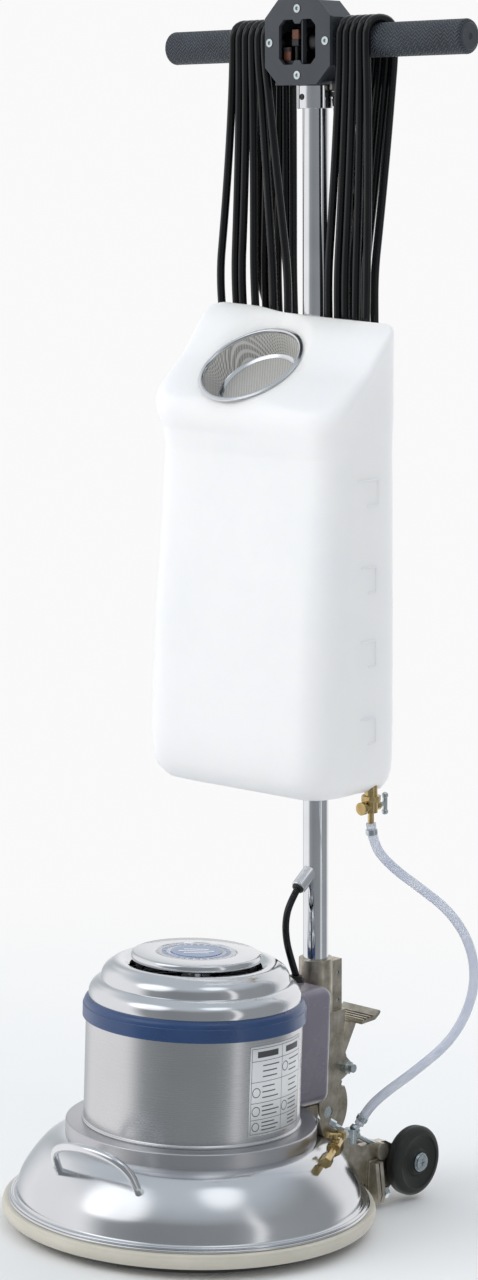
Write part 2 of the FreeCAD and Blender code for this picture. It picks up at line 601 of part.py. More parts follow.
def make_sleeve():
    """Foot casting of the handle: a split sleeve round the pole, on a fork that straddles the sector."""
    sleeve = cyl(SLEEVE_R, (0, 0, SLEEVE_Z0), (0, 0, SLEEVE_Z1))
    ear = box(-12.0, 12.0, 0, 26.0, SLEEVE_Z0, SLEEVE_Z1 - 4.0)
    bridge = slab_x([(-15.0, SLEEVE_Z0 + 2.0), (-16.0, 62.0), (22.0, 62.0), (26.0, SLEEVE_Z0 + 2.0)],
                    -CHEEK_OUT, CHEEK_OUT)
    fork = slab_x([(-16.0, 70.0), (-14.0, 30.0), (-14.0, 0), (14.0, 0), (17.0, 28.0), (32.0, 34.0),
                   (35.0, 44.0), (28.0, 51.0), (22.0, 70.0)], -CHEEK_OUT, CHEEK_OUT)
    foot = cyl(14.0, (-CHEEK_OUT, 0, 0), (CHEEK_OUT, 0, 0))
    body = fused(sleeve, ear, bridge, fork, foot)
    slot = slab_x([(-30.0, -20.0), (-30.0, 60.0), (14.0, 60.0), (22.0, 80.0), (50.0, 80.0), (50.0, -20.0)],
                  -CHEEK_IN, CHEEK_IN)
    bores = [slot, cyl(POLE_R, (0, 0, POLE_Z0), (0, 0, 170.0)), box(-0.8, 0.8, 10.0, 27.0, 101.0, 158.0),
             cyl(PIVOT_BOLT_R + FIT, (-20.0, 0, 0), (20.0, 0, 0)),
             cyl(PEDAL_BOLT_R, (-20.0,) + PEDAL_PIVOT, (20.0,) + PEDAL_PIVOT)]
    bores += [cyl(2.35, (-20.0, 20.0, z), (20.0, 20.0, z)) for z in CLAMP_SCREW_Z]
    return body.cut(bores)


CLAMP_SCREW_Z = (111.0, 139.0)


def make_clamp_screws():
    screws = []
    for z in CLAMP_SCREW_Z:
        shank = cyl(2.35, (-12.0, 20.0, z), (11.0, 20.0, z))
        head = cyl(4.2, (-16.0, 20.0, z), (-12.0, 20.0, z)).cut(hexagon(4.0, (-16.5, 20.0, z), (-14.0, 20.0, z)))
        screws.append(fused(shank, head))
    return screws


def make_pedal():
    """Foot pedal: ribbed tread, stem, and a front arm whose tooth stands over the sector's rim."""
    py, pz = PEDAL_PIVOT
    hub = cyl(9.0, (-9.5, py, pz), (9.5, py, pz))
    stem = slab_x([(py - 4.0, pz + 6.0), (py + 6.0, pz - 2.0), (56.0, 82.0), (46.0, 85.0)], -7.0, 7.0)
    gusset = slab_x([(44.0, 85.5), (54.0, 80.0), (59.0, 86.5), (44.0, 86.0)], -12.0, 12.0)
    tread = slab_x([(43.0, 85.5), (62.0, 87.0), (71.0, 92.0), (72.5, 90.5), (71.5, 88.0), (64.0, 83.5),
                    (43.0, 83.0)], -24.0, 24.0)
    ribs = [box(-24.0, 24.0, 44.5 + 5.2 * k, 46.7 + 5.2 * k, 84.5 + 0.4 * k, 87.6 + 0.45 * k) for k in range(4)]
    arm = slab_x([(py - 2.0, pz + 8.5), (8.0, 48.0), (2.0, 44.0), (3.0, 38.7), (7.0, 38.6), (py - 6.0, pz - 2.0)],
                 -6.0, 6.0)
    body = fused(hub, stem, gusset, tread, arm, *ribs)
    return body.cut(cyl(PEDAL_BOLT_R + FIT, (-12.0, py, pz), (12.0, py, pz)))


def make_pedal_bolt():
    py, pz = PEDAL_PIVOT
    shank = cyl(PEDAL_BOLT_R, (-CHEEK_OUT, py, pz), (CHEEK_OUT, py, pz))
    head = hexagon(12.0, (-CHEEK_OUT - 5.0, py, pz), (-CHEEK_OUT, py, pz))
    nut = fused(hexagon(12.0, (CHEEK_OUT, py, pz), (CHEEK_OUT + 6.0, py, pz)),
                cyl(4.4, (CHEEK_OUT + 6.0, py, pz), (CHEEK_OUT + 12.0, py, pz)))
    return fused(shank, head, nut)


# tank: sections from the bottom up, as (height, front face, half width, corner radius)
TANK_SECTIONS = [(344.0, -104.0, 92.0, 22.0), (348.0, -116.0, 106.0, 28.0), (356.0, -124.0, 114.0, 32.0),
                 (368.0, -129.0, 118.5, 36.0), (386.0, -131.0, 120.0, 36.0), (520.0, -122.0, 120.0, 36.0),
                 (640.0, -110.0, 119.0, 34.0), (668.0, -108.0, 118.5, 34.0), (688.0, -111.0, 119.0, 34.0),
                 (704.0, -118.0, 120.0, 34.0), (720.0, -123.0, 120.0, 34.0), (812.0, -123.0, 120.0, 34.0)]


def rounded_section(z, front, half, corner, inset):
    """One level outline of the tank: large front corners, small back corners."""
    x, y0, y1 = half - inset, front + inset, TANK_BACK - inset
    r0, r1 = corner - inset, 15.0 - inset
    pts = []
    for sx, sy, r in ((-1, -1, r0), (1, -1, r0), (1, 1, r1), (-1, 1, r1)):
        cx, cy = sx * (x - r), (y0 + r) if sy < 0 else (y1 - r)
        d = r * math.sqrt(0.5)
        side, face = Vector(cx + sx * r, cy, z), Vector(cx, cy + sy * r, z)
        corner_run = [side, Vector(cx + sx * d, cy + sy * d, z), face]
        pts.append(corner_run if sx == sy else corner_run[::-1])
    edges = []
    for k, (a, m, b) in enumerate(pts):
        edges += [Part.Arc(a, m, b).toShape(), Part.makeLine(b, pts[(k + 1) % 4][0])]
    return Part.Wire(edges)


def tank_form(inset):
    """The tank's shape, moved inward by inset, with its sloping filler face."""
    wires = []
    for k, (z, front, half, corner) in enumerate(TANK_SECTIONS):
        wires.append(rounded_section(z + inset * max(0.0, 1.0 - 0.5 * k), front, half, corner, inset))
    form = Part.makeLoft(wires, True, True)
    above = Part.makeBox(500.0, 500.0, 200.0, Vector(-250.0, -250.0, 0))
    above.Placement = FreeCAD.Placement(FILLER - Vector(FILLER_NORMAL).normalize() * inset,
                                        FreeCAD.Rotation(Z, FILLER_NORMAL))
    return form.cut(above)


def filler_cyl(r, low, high):
    n = Vector(FILLER_NORMAL).normalize()
    return Part.makeCylinder(r, high - low, FILLER + n * low, n)


def make_tank():
    mouth, depth = FILLER_R - 2.4, 20.0
    pocket = turned((0, -depth), (mouth - STRAINER_TAPER * depth / STRAINER_DEPTH, -depth), (mouth, 0), (mouth, 20.0),
                    (0, 20.0), (0, -depth))
    return tank_form(0).cut(tank_form(TANK_WALL)).cut(on_filler(pocket)).cut(
        cyl(6.5, (VALVE_X, VALVE_Y, TANK_Z0 - 6.0), (VALVE_X, VALVE_Y, TANK_Z0 + 14.0)))


def make_strainer_cup():
    """The strainer's tapered cup, its rolled rim and the ring that carries the mesh."""
    top, low = FILLER_R - 3.0, FILLER_R - 3.0 - STRAINER_TAPER
    d = STRAINER_DEPTH
    cup = turned((top - 1.0, 0.4), (FILLER_R + 2.0, 0.4), (FILLER_R + 2.0, 2.6), (top - 1.0, 2.6), (low - 1.0, 2.0 - d),
                 (low - 5.0, 2.0 - d), (low - 5.0, -d), (low, -d), (top, 0.4))
    return on_filler(cup)


def on_filler(shape):
    """Moves a shape turned about Z to the filler's sloping face."""
    shape.Placement = FreeCAD.Placement(FILLER, FreeCAD.Rotation(Z, FILLER_NORMAL))
    return shape


def make_strainer_mesh():
    low = FILLER_R - 8.0 - STRAINER_TAPER
    return filler_cyl(low, -STRAINER_DEPTH + 0.4, -STRAINER_DEPTH + 1.4)


def make_tank_clips():
    """Two steel saddles behind the tank, clamped round the pole."""
    clips = []
    for z in (420.0, 720.0):
        ring = tube(POLE_R + 3.0, POLE_R, (0, 0, z - 9.0), (0, 0, z + 9.0))
        plate = box(-34.0, 34.0, TANK_BACK + 0.2, -13.9, z - 11.0, z + 11.0)
        plate = plate.cut(cyl(POLE_R, (0, 0, z - 20.0), (0, 0, z + 20.0)))
        knob = cyl(4.0, (0, 14.0, z), (0, 24.0, z))
        clips.append(fused(ring, plate, knob))
    return clips


def make_tank_tap():
    """Brass neck and zinc tap body under the tank, with a hose barb at its foot."""
    z = TANK_Z0 - 4.5
    neck = fused(cyl(6.3, (VALVE_X, VALVE_Y, z), (VALVE_X, VALVE_Y, TANK_Z0 + 10.0)),
                 hexagon(17.0, (VALVE_X, VALVE_Y, z - 2.0), (VALVE_X, VALVE_Y, z + 3.5)))
    body = fused(cyl(6.5, (VALVE_X, VALVE_Y, z - 13.0), (VALVE_X, VALVE_Y, z - 2.0)),
                 cyl(4.6, (VALVE_X, VALVE_Y - 13.0, z - 7.5), (VALVE_X, VALVE_Y + 11.0, z - 7.5)),
                 cyl(6.2, (VALVE_X, VALVE_Y - 15.0, z - 7.5), (VALVE_X, VALVE_Y - 11.0, z - 7.5)))
    barb = cyl(3.0, (VALVE_X, VALVE_Y, HOSE_TOP), (VALVE_X, VALVE_Y, z - 13.0))
    return fused(neck, body, barb)


def make_tap_key():
    """The T key that turns the tap."""
    z, y0 = TANK_Z0 - 12.0, VALVE_Y + 11.0
    spindle = cyl(2.2, (VALVE_X, y0 + 0.2, z), (VALVE_X, y0 + 10.0, z))
    bar = cyl(2.4, (VALVE_X, y0 + 10.0, z - 8.0), (VALVE_X, y0 + 10.0, z + 8.0))
    ends = [Part.makeSphere(3.2, Vector(VALVE_X, y0 + 10.0, z + s)) for s in (-8.0, 8.0)]
    return fused(spindle, bar, *ends)


# ---------------------------------------------------------------- head of the handle

def octagon(half_w, half_h, cut):
    w, h = half_w, half_h
    return [(-w + cut, -h), (w - cut, -h), (w, -h + cut), (w, h - cut), (w - cut, h), (-w + cut, h),
            (-w, h - cut), (-w, -h + cut)]


def head_slab(half_w, half_h, cut, y0, y1):
    return slab_y([(x, z + HEAD_Z) for x, z in octagon(half_w, half_h, cut)], y0, y1)


def screw_places():
    return [(0, 31.0), (0, -31.0), (-35.0, 0), (35.0, 0)]


def octagon_wire(half_w, half_h, cut, y):
    pts = [Vector(x, y, z + HEAD_Z) for x, z in octagon(half_w, half_h, cut)]
    return Part.makePolygon(pts + pts[:1])


def make_head():
    """Head casting: an octagonal pot, closed at the back, with the bar's bores and a neck for the pole."""
    outer = head_slab(39.0, 38.5, 16.0, HEAD_Y0, 8.0)
    back = Part.makeLoft([octagon_wire(39.0, 38.5, 16.0, 8.0), octagon_wire(33.0, 32.0, 13.0, HEAD_Y1)], True, True)
    neck = cyl(18.0, (0, 0, POLE_Z1), (0, 0, HEAD_Z - 33.0))
    lead_boss = fused(cyl(8.5, (26.0, 4.0, 1008.0), (26.0, 4.0, HEAD_Z - 24.0)))
    hollow = head_slab(35.0, 34.5, 14.0, HEAD_Y0 - 1.0, 12.0)
    pads = [cyl(5.0, (x, HEAD_Y0, HEAD_Z + z), (x, -10.0, HEAD_Z + z)) for x, z in screw_places()]
    ribs = [box(-36.0, 36.0, -18.0 + 6.0 * k, -15.5 + 6.0 * k, HEAD_Z - 39.6, HEAD_Z - 37.0) for k in range(4)]
    body = fused(fused(outer, back, neck, lead_boss, *ribs).cut(hollow), *pads)
    cuts = [cyl(2.0, (x, HEAD_Y0 - 1.0, HEAD_Z + z), (x, -12.0, HEAD_Z + z)) for x, z in screw_places()]
    cuts.append(cyl(BAR_R + FIT, (-50.0, 0, HEAD_Z), (50.0, 0, HEAD_Z)))
    cuts.append(cyl(CAM_R + 0.5, (-18.0, 0, HEAD_Z), (1.0, 0, HEAD_Z)))
    cuts.append(cyl(POLE_R - POLE_WALL, (0, 0, 1000.0), (0, 0, HEAD_Z - 20.0)))
    return body.cut(cuts)


def make_front_plate():
    """The octagonal cover of the head, with its tall window and the rib inside it."""
    y0 = HEAD_Y0 - 4.0
    half = [(3.0, 17.0), (6.0, 21.0), (17.0, 21.0), (23.0, 15.0), (23.0, -15.0), (17.0, -21.0), (6.0, -21.0),
            (3.0, -17.0)]
    window = half + [(-x, z) for x, z in reversed(half)]
    cuts = [slab_y([(x, z + HEAD_Z) for x, z in window], y0 - 1.0, HEAD_Y0 + 1.0)]
    for x, z in screw_places():
        cuts.append(cyl(2.2, (x, y0 - 1.0, HEAD_Z + z), (x, HEAD_Y0 + 1.0, HEAD_Z + z)))
        cuts.append(cyl(4.2, (x, y0 - 1.0, HEAD_Z + z), (x, y0 + 1.8, HEAD_Z + z)))
    plate = head_slab(HEAD_HALF_W, HEAD_HALF_H, HEAD_CUT, y0, HEAD_Y0).cut(cuts)
    return fused(plate, box(5.0, 6.4, y0 + 0.8, -20.5, HEAD_Z - 22.0, HEAD_Z + 22.0))


def make_plate_screws():
    screws = []
    y0 = HEAD_Y0 - 4.0
    for x, z in screw_places():
        socket = hexagon(3.4, (x, y0 - 2.0, HEAD_Z + z), (x, y0 + 0.8, HEAD_Z + z))
        head = cyl(4.0, (x, y0 - 0.6, HEAD_Z + z), (x, y0 + 1.8, HEAD_Z + z)).cut(socket)
        screws.append(fused(head, cyl(1.9, (x, y0 + 1.8, HEAD_Z + z), (x, -13.0, HEAD_Z + z))))
    return screws


def make_socket():
    """The chrome collar that clamps the head's neck to the pole."""
    ring = tube(17.5, POLE_R, (0, 0, POLE_Z1 - 22.0), (0, 0, POLE_Z1))
    return ring.cut(cyl(2.2, (0, 0, POLE_Z1 - 11.0), (-3.0, -20.0, POLE_Z1 - 11.0)))


def make_bar():
    """The twist bar through the head."""
    return tube(BAR_R, BAR_R - 2.0, (4.0 - BAR_HALF, 0, HEAD_Z), (BAR_HALF - 4.0, 0, HEAD_Z))


def make_cam():
    """The switch cam clamped on the bar inside the head, with its nose over the plunger."""
    ring = tube(CAM_R, BAR_R, (-17.0, 0, HEAD_Z), (0, 0, HEAD_Z))
    nose = box(-13.0, -5.0, -19.5, -11.5, HEAD_Z - 3.0, HEAD_Z + 3.0)
    return fused(ring, nose)


def make_switch():
    """The deadman switch block inside the head, under the bar, with two contact tongues."""
    block = box(-23.0, 0, -20.0, 9.0, HEAD_Z - 32.0, HEAD_Z - 17.0)
    guide = cyl(PLUNGER_R + FIT, (PLUNGER_X, PLUNGER_Y, HEAD_Z - 33.0), (PLUNGER_X, PLUNGER_Y, HEAD_Z))
    pole_way = cyl(POLE_R, (0, 0, 1000.0), (0, 0, HEAD_Z - 20.0))
    pads = [cyl(5.3, (x, HEAD_Y0, HEAD_Z + z), (x, -9.5, HEAD_Z + z)) for x, z in screw_places()]
    return block.cut([guide, pole_way] + pads)


def make_contacts():
    """Copper contact strips on the switch block."""
    tongue = box(-22.5, -14.5, -20.0, -18.8, HEAD_Z - 17.0, HEAD_Z - 4.5)
    tip = box(-22.5, -14.5, -21.2, -18.8, HEAD_Z - 8.0, HEAD_Z - 4.5)
    return fused(tongue, tip)


def make_plunger():
    """The switch plunger that the cam's nose presses."""
    return cyl(PLUNGER_R, (PLUNGER_X, PLUNGER_Y, HEAD_Z - 26.0), (PLUNGER_X, PLUNGER_Y, HEAD_Z - 3.6))


def make_grip():
    """Right grip: a rubber sleeve with rounded ends and a closed outer end."""
    x0, x1 = GRIP_X0, BAR_HALF
    sleeve = turned((BAR_R, x0), (GRIP_R - 1.5, x0), ((GRIP_R - 0.4, x0 + 0.5), (GRIP_R, x0 + 2.0)),
                    (GRIP_R, x1 - 3.5), ((GRIP_R - 1.0, x1 - 1.0), (GRIP_R - 3.5, x1)),
                    (3.0, x1), (2.4, x1 - 1.0), (0, x1 - 1.0), (0, x1 - 4.0), (BAR_R, x1 - 4.0))
    sleeve.rotate(ORIGIN, Y, 90.0)
    sleeve.translate(Vector(0, 0, HEAD_Z))
    return sleeve


# ---------------------------------------------------------------- solution line on the right arm

TEE = (88.0, 134.0, 79.0)
BARB_END = Vector(90.3, 143.1, 87.2)
COCK = (125.0, 67.0, 86.5)


def make_spray_valve():
    """Zinc valve on the arm's edge: body, hose barb, screwed stem and the rod to the arm's boss."""
    tx, ty, tz = TEE
    body = cyl(6.0, (tx, ty, tz - 9.0), (tx, ty, tz + 5.0))
    cross = cyl(4.6, (tx, ty - 14.0, tz + 2.0), (tx, ty + 9.0, tz - 3.0))
    nut = hexagon(12.0, (tx, ty - 16.0, tz + 3.0), (tx, ty - 11.0, tz + 1.5))
    stem = fused(cyl(2.6, (tx - 4.0, ty - 4.0, tz + 2.0), (tx - 15.0, ty - 12.0, tz + 9.0)),
                 hexagon(8.0, (tx - 12.0, ty - 10.0, tz + 7.0), (tx - 17.0, ty - 13.5, tz + 10.2)))
    barb = cyl(3.0, (tx, ty, tz), tuple(BARB_END))
    collar = cyl(5.2, (tx + 0.9, ty + 3.6, tz + 3.2), (tx + 1.5, ty + 6.0, tz + 5.2))
    rod = cyl(2.5, (tx, ty + 6.0, tz - 2.0), (tx, 170.0, 61.5))
    return fused(body, cross, nut, stem, barb, collar, rod)


def make_cock():
    """Brass cock on its feed pipe, with a hexagonal body and a spray nozzle that points down the dome."""
    tx, ty, tz = TEE
    x, y, z = COCK
    bend = (100.0, 104.0, 86.0)
    pipe = fused(cyl(2.8, (tx, ty - 15.8, tz + 2.8), bend), cyl(4.2, (100.0, 104.0, 81.5), (100.0, 104.0, 90.5)),
                 cyl(3.4, bend, COCK))
    body = hexagon(13.0, (x - 4.5, y + 8.0, z + 0.6), (x + 4.5, y - 8.0, z - 0.6))
    stem = cyl(4.6, (x, y, z), (x, y, z + 8.0))
    nozzle = cyl(4.6, (x + 3.0, y - 6.0, z), (x + 16.0, y - 30.0, z - 3.0))
    tip = hexagon(10.0, (x + 13.5, y - 25.5, z - 2.4), (x + 19.0, y - 35.5, z - 4.2))
    return fused(pipe, body, stem, nozzle, tip)


def make_cock_lever():
    """The cock's T lever."""
    x, y, z = COCK
    d = 8.0
    bar = cyl(2.0, (x - d * 0.73, y - d * 0.68, z + 12.0), (x + d * 0.73, y + d * 0.68, z + 12.0))
    ends = [cyl(2.7, (x + k * 0.73 * d, y + k * 0.68 * d, z + 9.5), (x + k * 0.73 * d, y + k * 0.68 * d, z + 14.5))
            for k in (-1, 1)]
    return fused(cyl(3.0, (x, y, z + 8.3), (x, y, z + 13.0)), bar, *ends)


# ---------------------------------------------------------------- cords

def routed_tube(points, diameter, name=None):
    """A cord's tube: straight runs joined by tangent arcs as large as the runs allow. A named one is measured."""
    pts = [Vector(*p) for p in points]
    edges, here, radii = [], pts[0], []
    for k in range(1, len(pts) - 1):
        a, b, c = pts[k - 1], pts[k], pts[k + 1]
        u, w = (a - b).normalize(), (c - b).normalize()
        turn = math.pi - u.getAngle(w)
        cut = 0.45 * min((a - b).Length, (c - b).Length)
        radius = cut / math.tan(turn / 2.0)
        radii.append(radius)
        start, end = b + u * cut, b + w * cut
        centre = b + (u + w).normalize() * (radius / math.cos(turn / 2.0))
        mid = centre + (b - centre).normalize() * radius
        edges.append(Part.LineSegment(here, start).toShape())
        edges.append(Part.Arc(start, mid, end).toShape())
        here = end
    edges.append(Part.LineSegment(here, pts[-1]).toShape())
    path = Part.Wire(edges)
    first = (pts[1] - pts[0]).normalize()
    section = Part.Wire(Part.makeCircle(diameter / 2.0, pts[0], first))
    solid = path.makePipeShell([section], True, True)
    ideal = math.pi * diameter ** 2 / 4.0 * path.Length
    if name:
        print("%s: length %.0f, least radius %.0f (%.1f diameters), volume %.4f of section x length, radii %s"
              % (name, path.Length, min(radii), min(radii) / diameter, solid.Volume / ideal,
                 " ".join("%.0f" % r for r in radii)))
    return solid


def hose_route():
    top = handle_point((VALVE_X, VALVE_Y, HOSE_TOP))
    return [tuple(top), (106.0, 130.0, 369.0), (117.0, 143.5, 348.0), (137.0, 165.0, 327.0), (157.0, 187.0, 305.0),
            (171.0, 202.5, 275.0), (175.5, 209.0, 242.0), (171.0, 207.0, 208.0), (157.0, 196.5, 173.0),
            (131.0, 175.0, 142.0), (108.0, 156.0, 118.0), (96.5, 147.5, 102.0), tuple(BARB_END)]


def cable_route():
    mouth = handle_point(OUTLET_MOUTH)
    return [tuple(mouth), (1.0, 131.0, 293.0), (2.5, 124.5, 276.0), (4.0, 125.0, 258.0), (5.0, 131.0, 240.0),
            (GROMMET_X, GROMMET_Y, BOX_Z1 + 6.0)]


LEAD_START = (26.0, 4.0, 1008.0)


def lead_route():
    """From the head's boss, down and out to the right winding."""
    return [LEAD_START, (26.5, 6.0, 975.0), (28.0, 12.0, 944.0), (33.5, 19.0, 920.0), (44.0, 24.5, 902.0)]


def tail_route():
    """From the left winding, down behind the pole to the plug."""
    return [(-44.0, 24.0, 640.0), (-41.0, 31.0, 612.0), (-33.0, 39.0, 586.0), (-23.0, 43.0, 560.0), PLUG_TOP]


PLUG_TOP = (-18.0, 42.0, 532.0)


def slab_of(outline, width):
    """A closed outline of (y, z) drawn in the XZ plane, turned to YZ and extruded along X."""
    face = Part.Face(outline)
    face.rotate(ORIGIN, Z, 90.0)
    return face.extrude(Vector(width, 0, 0))


def make_winding(spread):
    """Closed outer shape of one side's hanging loops, a long band from the bar to the hook, trimmed to a front outline."""
    def ring(r_top, r_low, front, back):
        return wire([((0, HEAD_Z + r_top), (r_top, HEAD_Z)), (back, HOOK_Z),
                     (((front + back) / 2.0, HOOK_Z - r_low), (front, HOOK_Z)), (front - 5.0, 830.0)],
                    (-r_top, HEAD_Z))
    band = slab_of(ring(25.0, 14.0, -5.5, 29.5), 140.0).cut(slab_of(ring(16.6, 4.6, 3.0, 21.0), 140.0))
    return band.common(slab_y(spread, -40.0, 40.0))


RIGHT_SPREAD = [(43.4, 1082.0), (85.2, 1082.0), (85.2, 1040.0), (72.5, 835.0), (59.5, 535.0), (59.5, 480.0), (18.0, 480.0),
                (18.0, 835.0), (43.4, 1000.0)]
LEFT_SPREAD = [(43.4, 1082.0), (93.4, 1082.0), (97.0, 1040.0), (124.0, 920.0), (128.5, 835.0), (66.0, 540.0), (66.0, 480.0),
               (18.0, 480.0), (27.0, 835.0), (43.4, 1000.0)]


def make_plug():
    """A plain two-pin plug at the cord's end, hanging pins down."""
    x, y, z = PLUG_TOP
    body = fused(Part.makeCone(4.2, 7.0, 16.0, Vector(x, y, z), -Z), box(x - 13.0, x + 13.0, y - 9.0, y + 9.0, z - 44.0, z - 16.0))
    pins = [box(x + s - 3.2, x + s + 3.2, y - 0.75, y + 0.75, z - 61.0, z - 44.0) for s in (-6.4, 6.4)]
    return fused(body, *pins)


def make_cord_hook():
    """The cord hook on the back of the pole, below the bar's loops, with two turned-up arms."""
    ring = tube(POLE_R + 3.0, POLE_R, (0, 0, HOOK_Z - 10.0), (0, 0, HOOK_Z + 10.0))
    arms = [fused(cyl(4.0, (s * 12.0, HOOK_Y, HOOK_Z), (s * HOOK_REACH, HOOK_Y, HOOK_Z)),
                  Part.makeSphere(4.0, Vector(s * HOOK_REACH, HOOK_Y, HOOK_Z)),
                  cyl(4.0, (s * HOOK_REACH, HOOK_Y, HOOK_Z), (s * (HOOK_REACH + 2.0), HOOK_Y + 14.0, HOOK_Z + 16.0)))
            for s in (-1, 1)]
    return fused(ring, *arms).cut(cyl(POLE_R, (0, 0, 400.0), (0, 0, 600.0)))


# ---------------------------------------------------------------- all nodes

WORLD_NODES = {
    "dome_cover": lambda: [make_dome()],
    "bumper_ring": lambda: [make_bumper()],
    "collar_ring": lambda: [make_collar()],
    "gearbox_housing": lambda: [make_gearbox_housing(), make_gear_cover(), make_ring_gear()],
    "motor_body": lambda: [make_body()],
    "blue_band": lambda: [make_band()],
    "cap_cover": lambda: [make_cap()],
    "motor_frame": lambda: [make_motor_seat(), make_intake_plate()],
    "top_disc": lambda: [make_top_disc()],
    "badge_plate": lambda: [make_badge()],
    "rating_plate": lambda: [make_rating_plate()],
    "stator_core": lambda: [make_stator()],
    "stator_windings": lambda: [winding_head(110.0, 124.0), winding_head(184.0, 198.0)],
    "motor_bearings": lambda: [bearing(SHAFT_R + FIT, 17.5, 93.0, 103.0),
                               bearing(SHAFT_R - 1.0 + FIT, 17.5, 210.0, 220.0)],
    "motor_rotor": lambda: [make_rotor(), make_shaft()],
    "cooling_fan": lambda: [make_fan()],
    "planet_carrier": lambda: [make_carrier(), make_driver()],
    "planet_gear_1": lambda: [make_planet(0)],
    "planet_gear_2": lambda: [make_planet(1)],
    "planet_gear_3": lambda: [make_planet(2)],
    "brush_block": lambda: [make_brush_block()],
    "brush_bristles": lambda: [make_bristles()],
    "capacitor_box": lambda: [make_capacitor_box()],
    "run_capacitor": lambda: [make_capacitor()],
    "cable_grommet": lambda: [make_cable_grommet().cut(routed_tube(cable_route(), CABLE_D))],
    "carry_handle": lambda: [make_carry_handle()],
    "base_yoke": lambda: [make_yoke()],
    "wheel_arm_right": lambda: [make_wheel_arm()],
    "wheel_arm_left": lambda: [mirrored(make_wheel_arm())],
    "base_fasteners": lambda: [make_pivot_bolt()] + both_sides(*make_arm_bolts(), make_wheel_screw()),
    "wheel_axle": lambda: [make_axle()],
    "wheel_right": lambda: [make_tyre(), make_hub()],
    "wheel_left": lambda: [mirrored(make_tyre()), mirrored(make_hub())],
    "spray_valve": lambda: [make_spray_valve().cut([make_wheel_arm(), routed_tube(hose_route(), HOSE_D)])],
    "brass_cock": lambda: [make_cock().cut(make_spray_valve()).cut(make_wheel_arm())],
    "cock_lever": lambda: [make_cock_lever()],
}
HANDLE_NODES = {
    "pole_tube": lambda: [make_pole(), make_outlet()],
    "pole_foot": lambda: [make_sleeve()],
    "handle_fasteners": lambda: [make_pedal_bolt()] + make_clamp_screws() + make_plate_screws(),
    "foot_pedal": lambda: [make_pedal()],
    "solution_tank": lambda: [make_tank()],
    "tank_brackets": lambda: make_tank_clips(),
    "tank_tap": lambda: [make_tank_tap()],
    "tap_key": lambda: [make_tap_key()],
    "strainer": lambda: [make_strainer_cup(), make_strainer_mesh()],
    "cord_hook": lambda: [make_cord_hook()],
    "socket_collar": lambda: [make_socket()],
    "head_housing": lambda: [make_head()],
    "head_plate": lambda: [make_front_plate()],
    "switch_block": lambda: [make_switch(), make_contacts()],
    "switch_plunger": lambda: [make_plunger()],
    "twist_bar": lambda: [make_bar(), make_cam()],
    "grips": lambda: [make_grip(), mirrored(make_grip())],
    "mains_winding_right": lambda: [make_winding(RIGHT_SPREAD)],
    "mains_winding_left": lambda: [mirrored(make_winding(LEFT_SPREAD))],
    "mains_plug": lambda: [make_plug().cut(routed_tube(tail_route(), CORD_D))],
    "mains_lead": lambda: [routed_tube(lead_route(), CORD_D, "mains_lead").cut(make_head())],
    "mains_tail": lambda: [routed_tube(tail_route(), CORD_D, "mains_tail")],
}

for name, make in WORLD_NODES.items():
    save(name, *make())
for name, make in HANDLE_NODES.items():
    save(name, *[on_handle(shape) for shape in make()])
outlet = Part.makeCompound([on_handle(make_pole()), on_handle(make_outlet())])
save("motor_cable", routed_tube(cable_route(), CABLE_D, "motor_cable").cut(outlet))
save("solution_hose", routed_tube(hose_route(), HOSE_D, "solution_hose").cut(on_handle(make_tank_tap())))
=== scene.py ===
import bpy
import bmesh
import json
import math
import random
from mathutils import Matrix, Vector


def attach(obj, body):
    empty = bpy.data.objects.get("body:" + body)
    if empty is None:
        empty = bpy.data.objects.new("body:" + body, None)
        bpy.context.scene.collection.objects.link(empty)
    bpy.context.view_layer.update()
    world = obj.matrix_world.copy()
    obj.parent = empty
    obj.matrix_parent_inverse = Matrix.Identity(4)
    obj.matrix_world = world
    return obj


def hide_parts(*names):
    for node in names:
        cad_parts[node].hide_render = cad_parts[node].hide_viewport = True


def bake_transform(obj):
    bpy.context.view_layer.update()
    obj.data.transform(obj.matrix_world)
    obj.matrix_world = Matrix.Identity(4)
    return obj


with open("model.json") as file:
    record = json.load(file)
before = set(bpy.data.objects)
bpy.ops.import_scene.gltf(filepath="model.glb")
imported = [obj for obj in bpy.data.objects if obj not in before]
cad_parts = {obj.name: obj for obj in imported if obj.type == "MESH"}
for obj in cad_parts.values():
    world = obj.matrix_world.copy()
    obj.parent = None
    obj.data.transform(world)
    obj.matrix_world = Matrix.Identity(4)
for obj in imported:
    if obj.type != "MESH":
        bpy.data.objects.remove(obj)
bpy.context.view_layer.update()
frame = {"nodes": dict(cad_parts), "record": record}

random.seed(7)

# ---------------------------------------------------------------- frames, in millimetres

PIVOT = Vector((0, 183.0, 76.0))
LEAN = math.radians(2.88)
WORLD = Matrix.Scale(0.001, 4)
HANDLE = WORLD @ Matrix.Translation(PIVOT) @ Matrix.Rotation(LEAN, 4, "X")
HEAD_Z, BAR_HALF, GRIP_R = 1054.0, 186.0, 16.0
BAR_R, POLE_R, POLE_Z0, POLE_Z1 = 11.0, 12.7, 103.0, 1014.0
FILLER = Vector((-22.0, -69.0, 750.0))
FILLER_NORMAL = Vector((0.05, -0.60, 0.80)).normalized()
WHEEL_X, WHEEL_Y, WHEEL_Z = 102.0, 214.5, 39.5
HOOK_Z = 500.0
OUTLET_MOUTH, OUTLET_AXIS = (0, -26.5, 233.0), (0, 24.5, 18.5)
TANK_Z0, TANK_Z1, TANK_BACK = 344.0, 812.0, -16.6
FILLER_R = 53.0
PLATE_R = 104.6
CORD_D, CABLE_D, HOSE_D = 0.008, 0.007, 0.0095
FINE_TURN = 288                                     # segments round the large turned covers


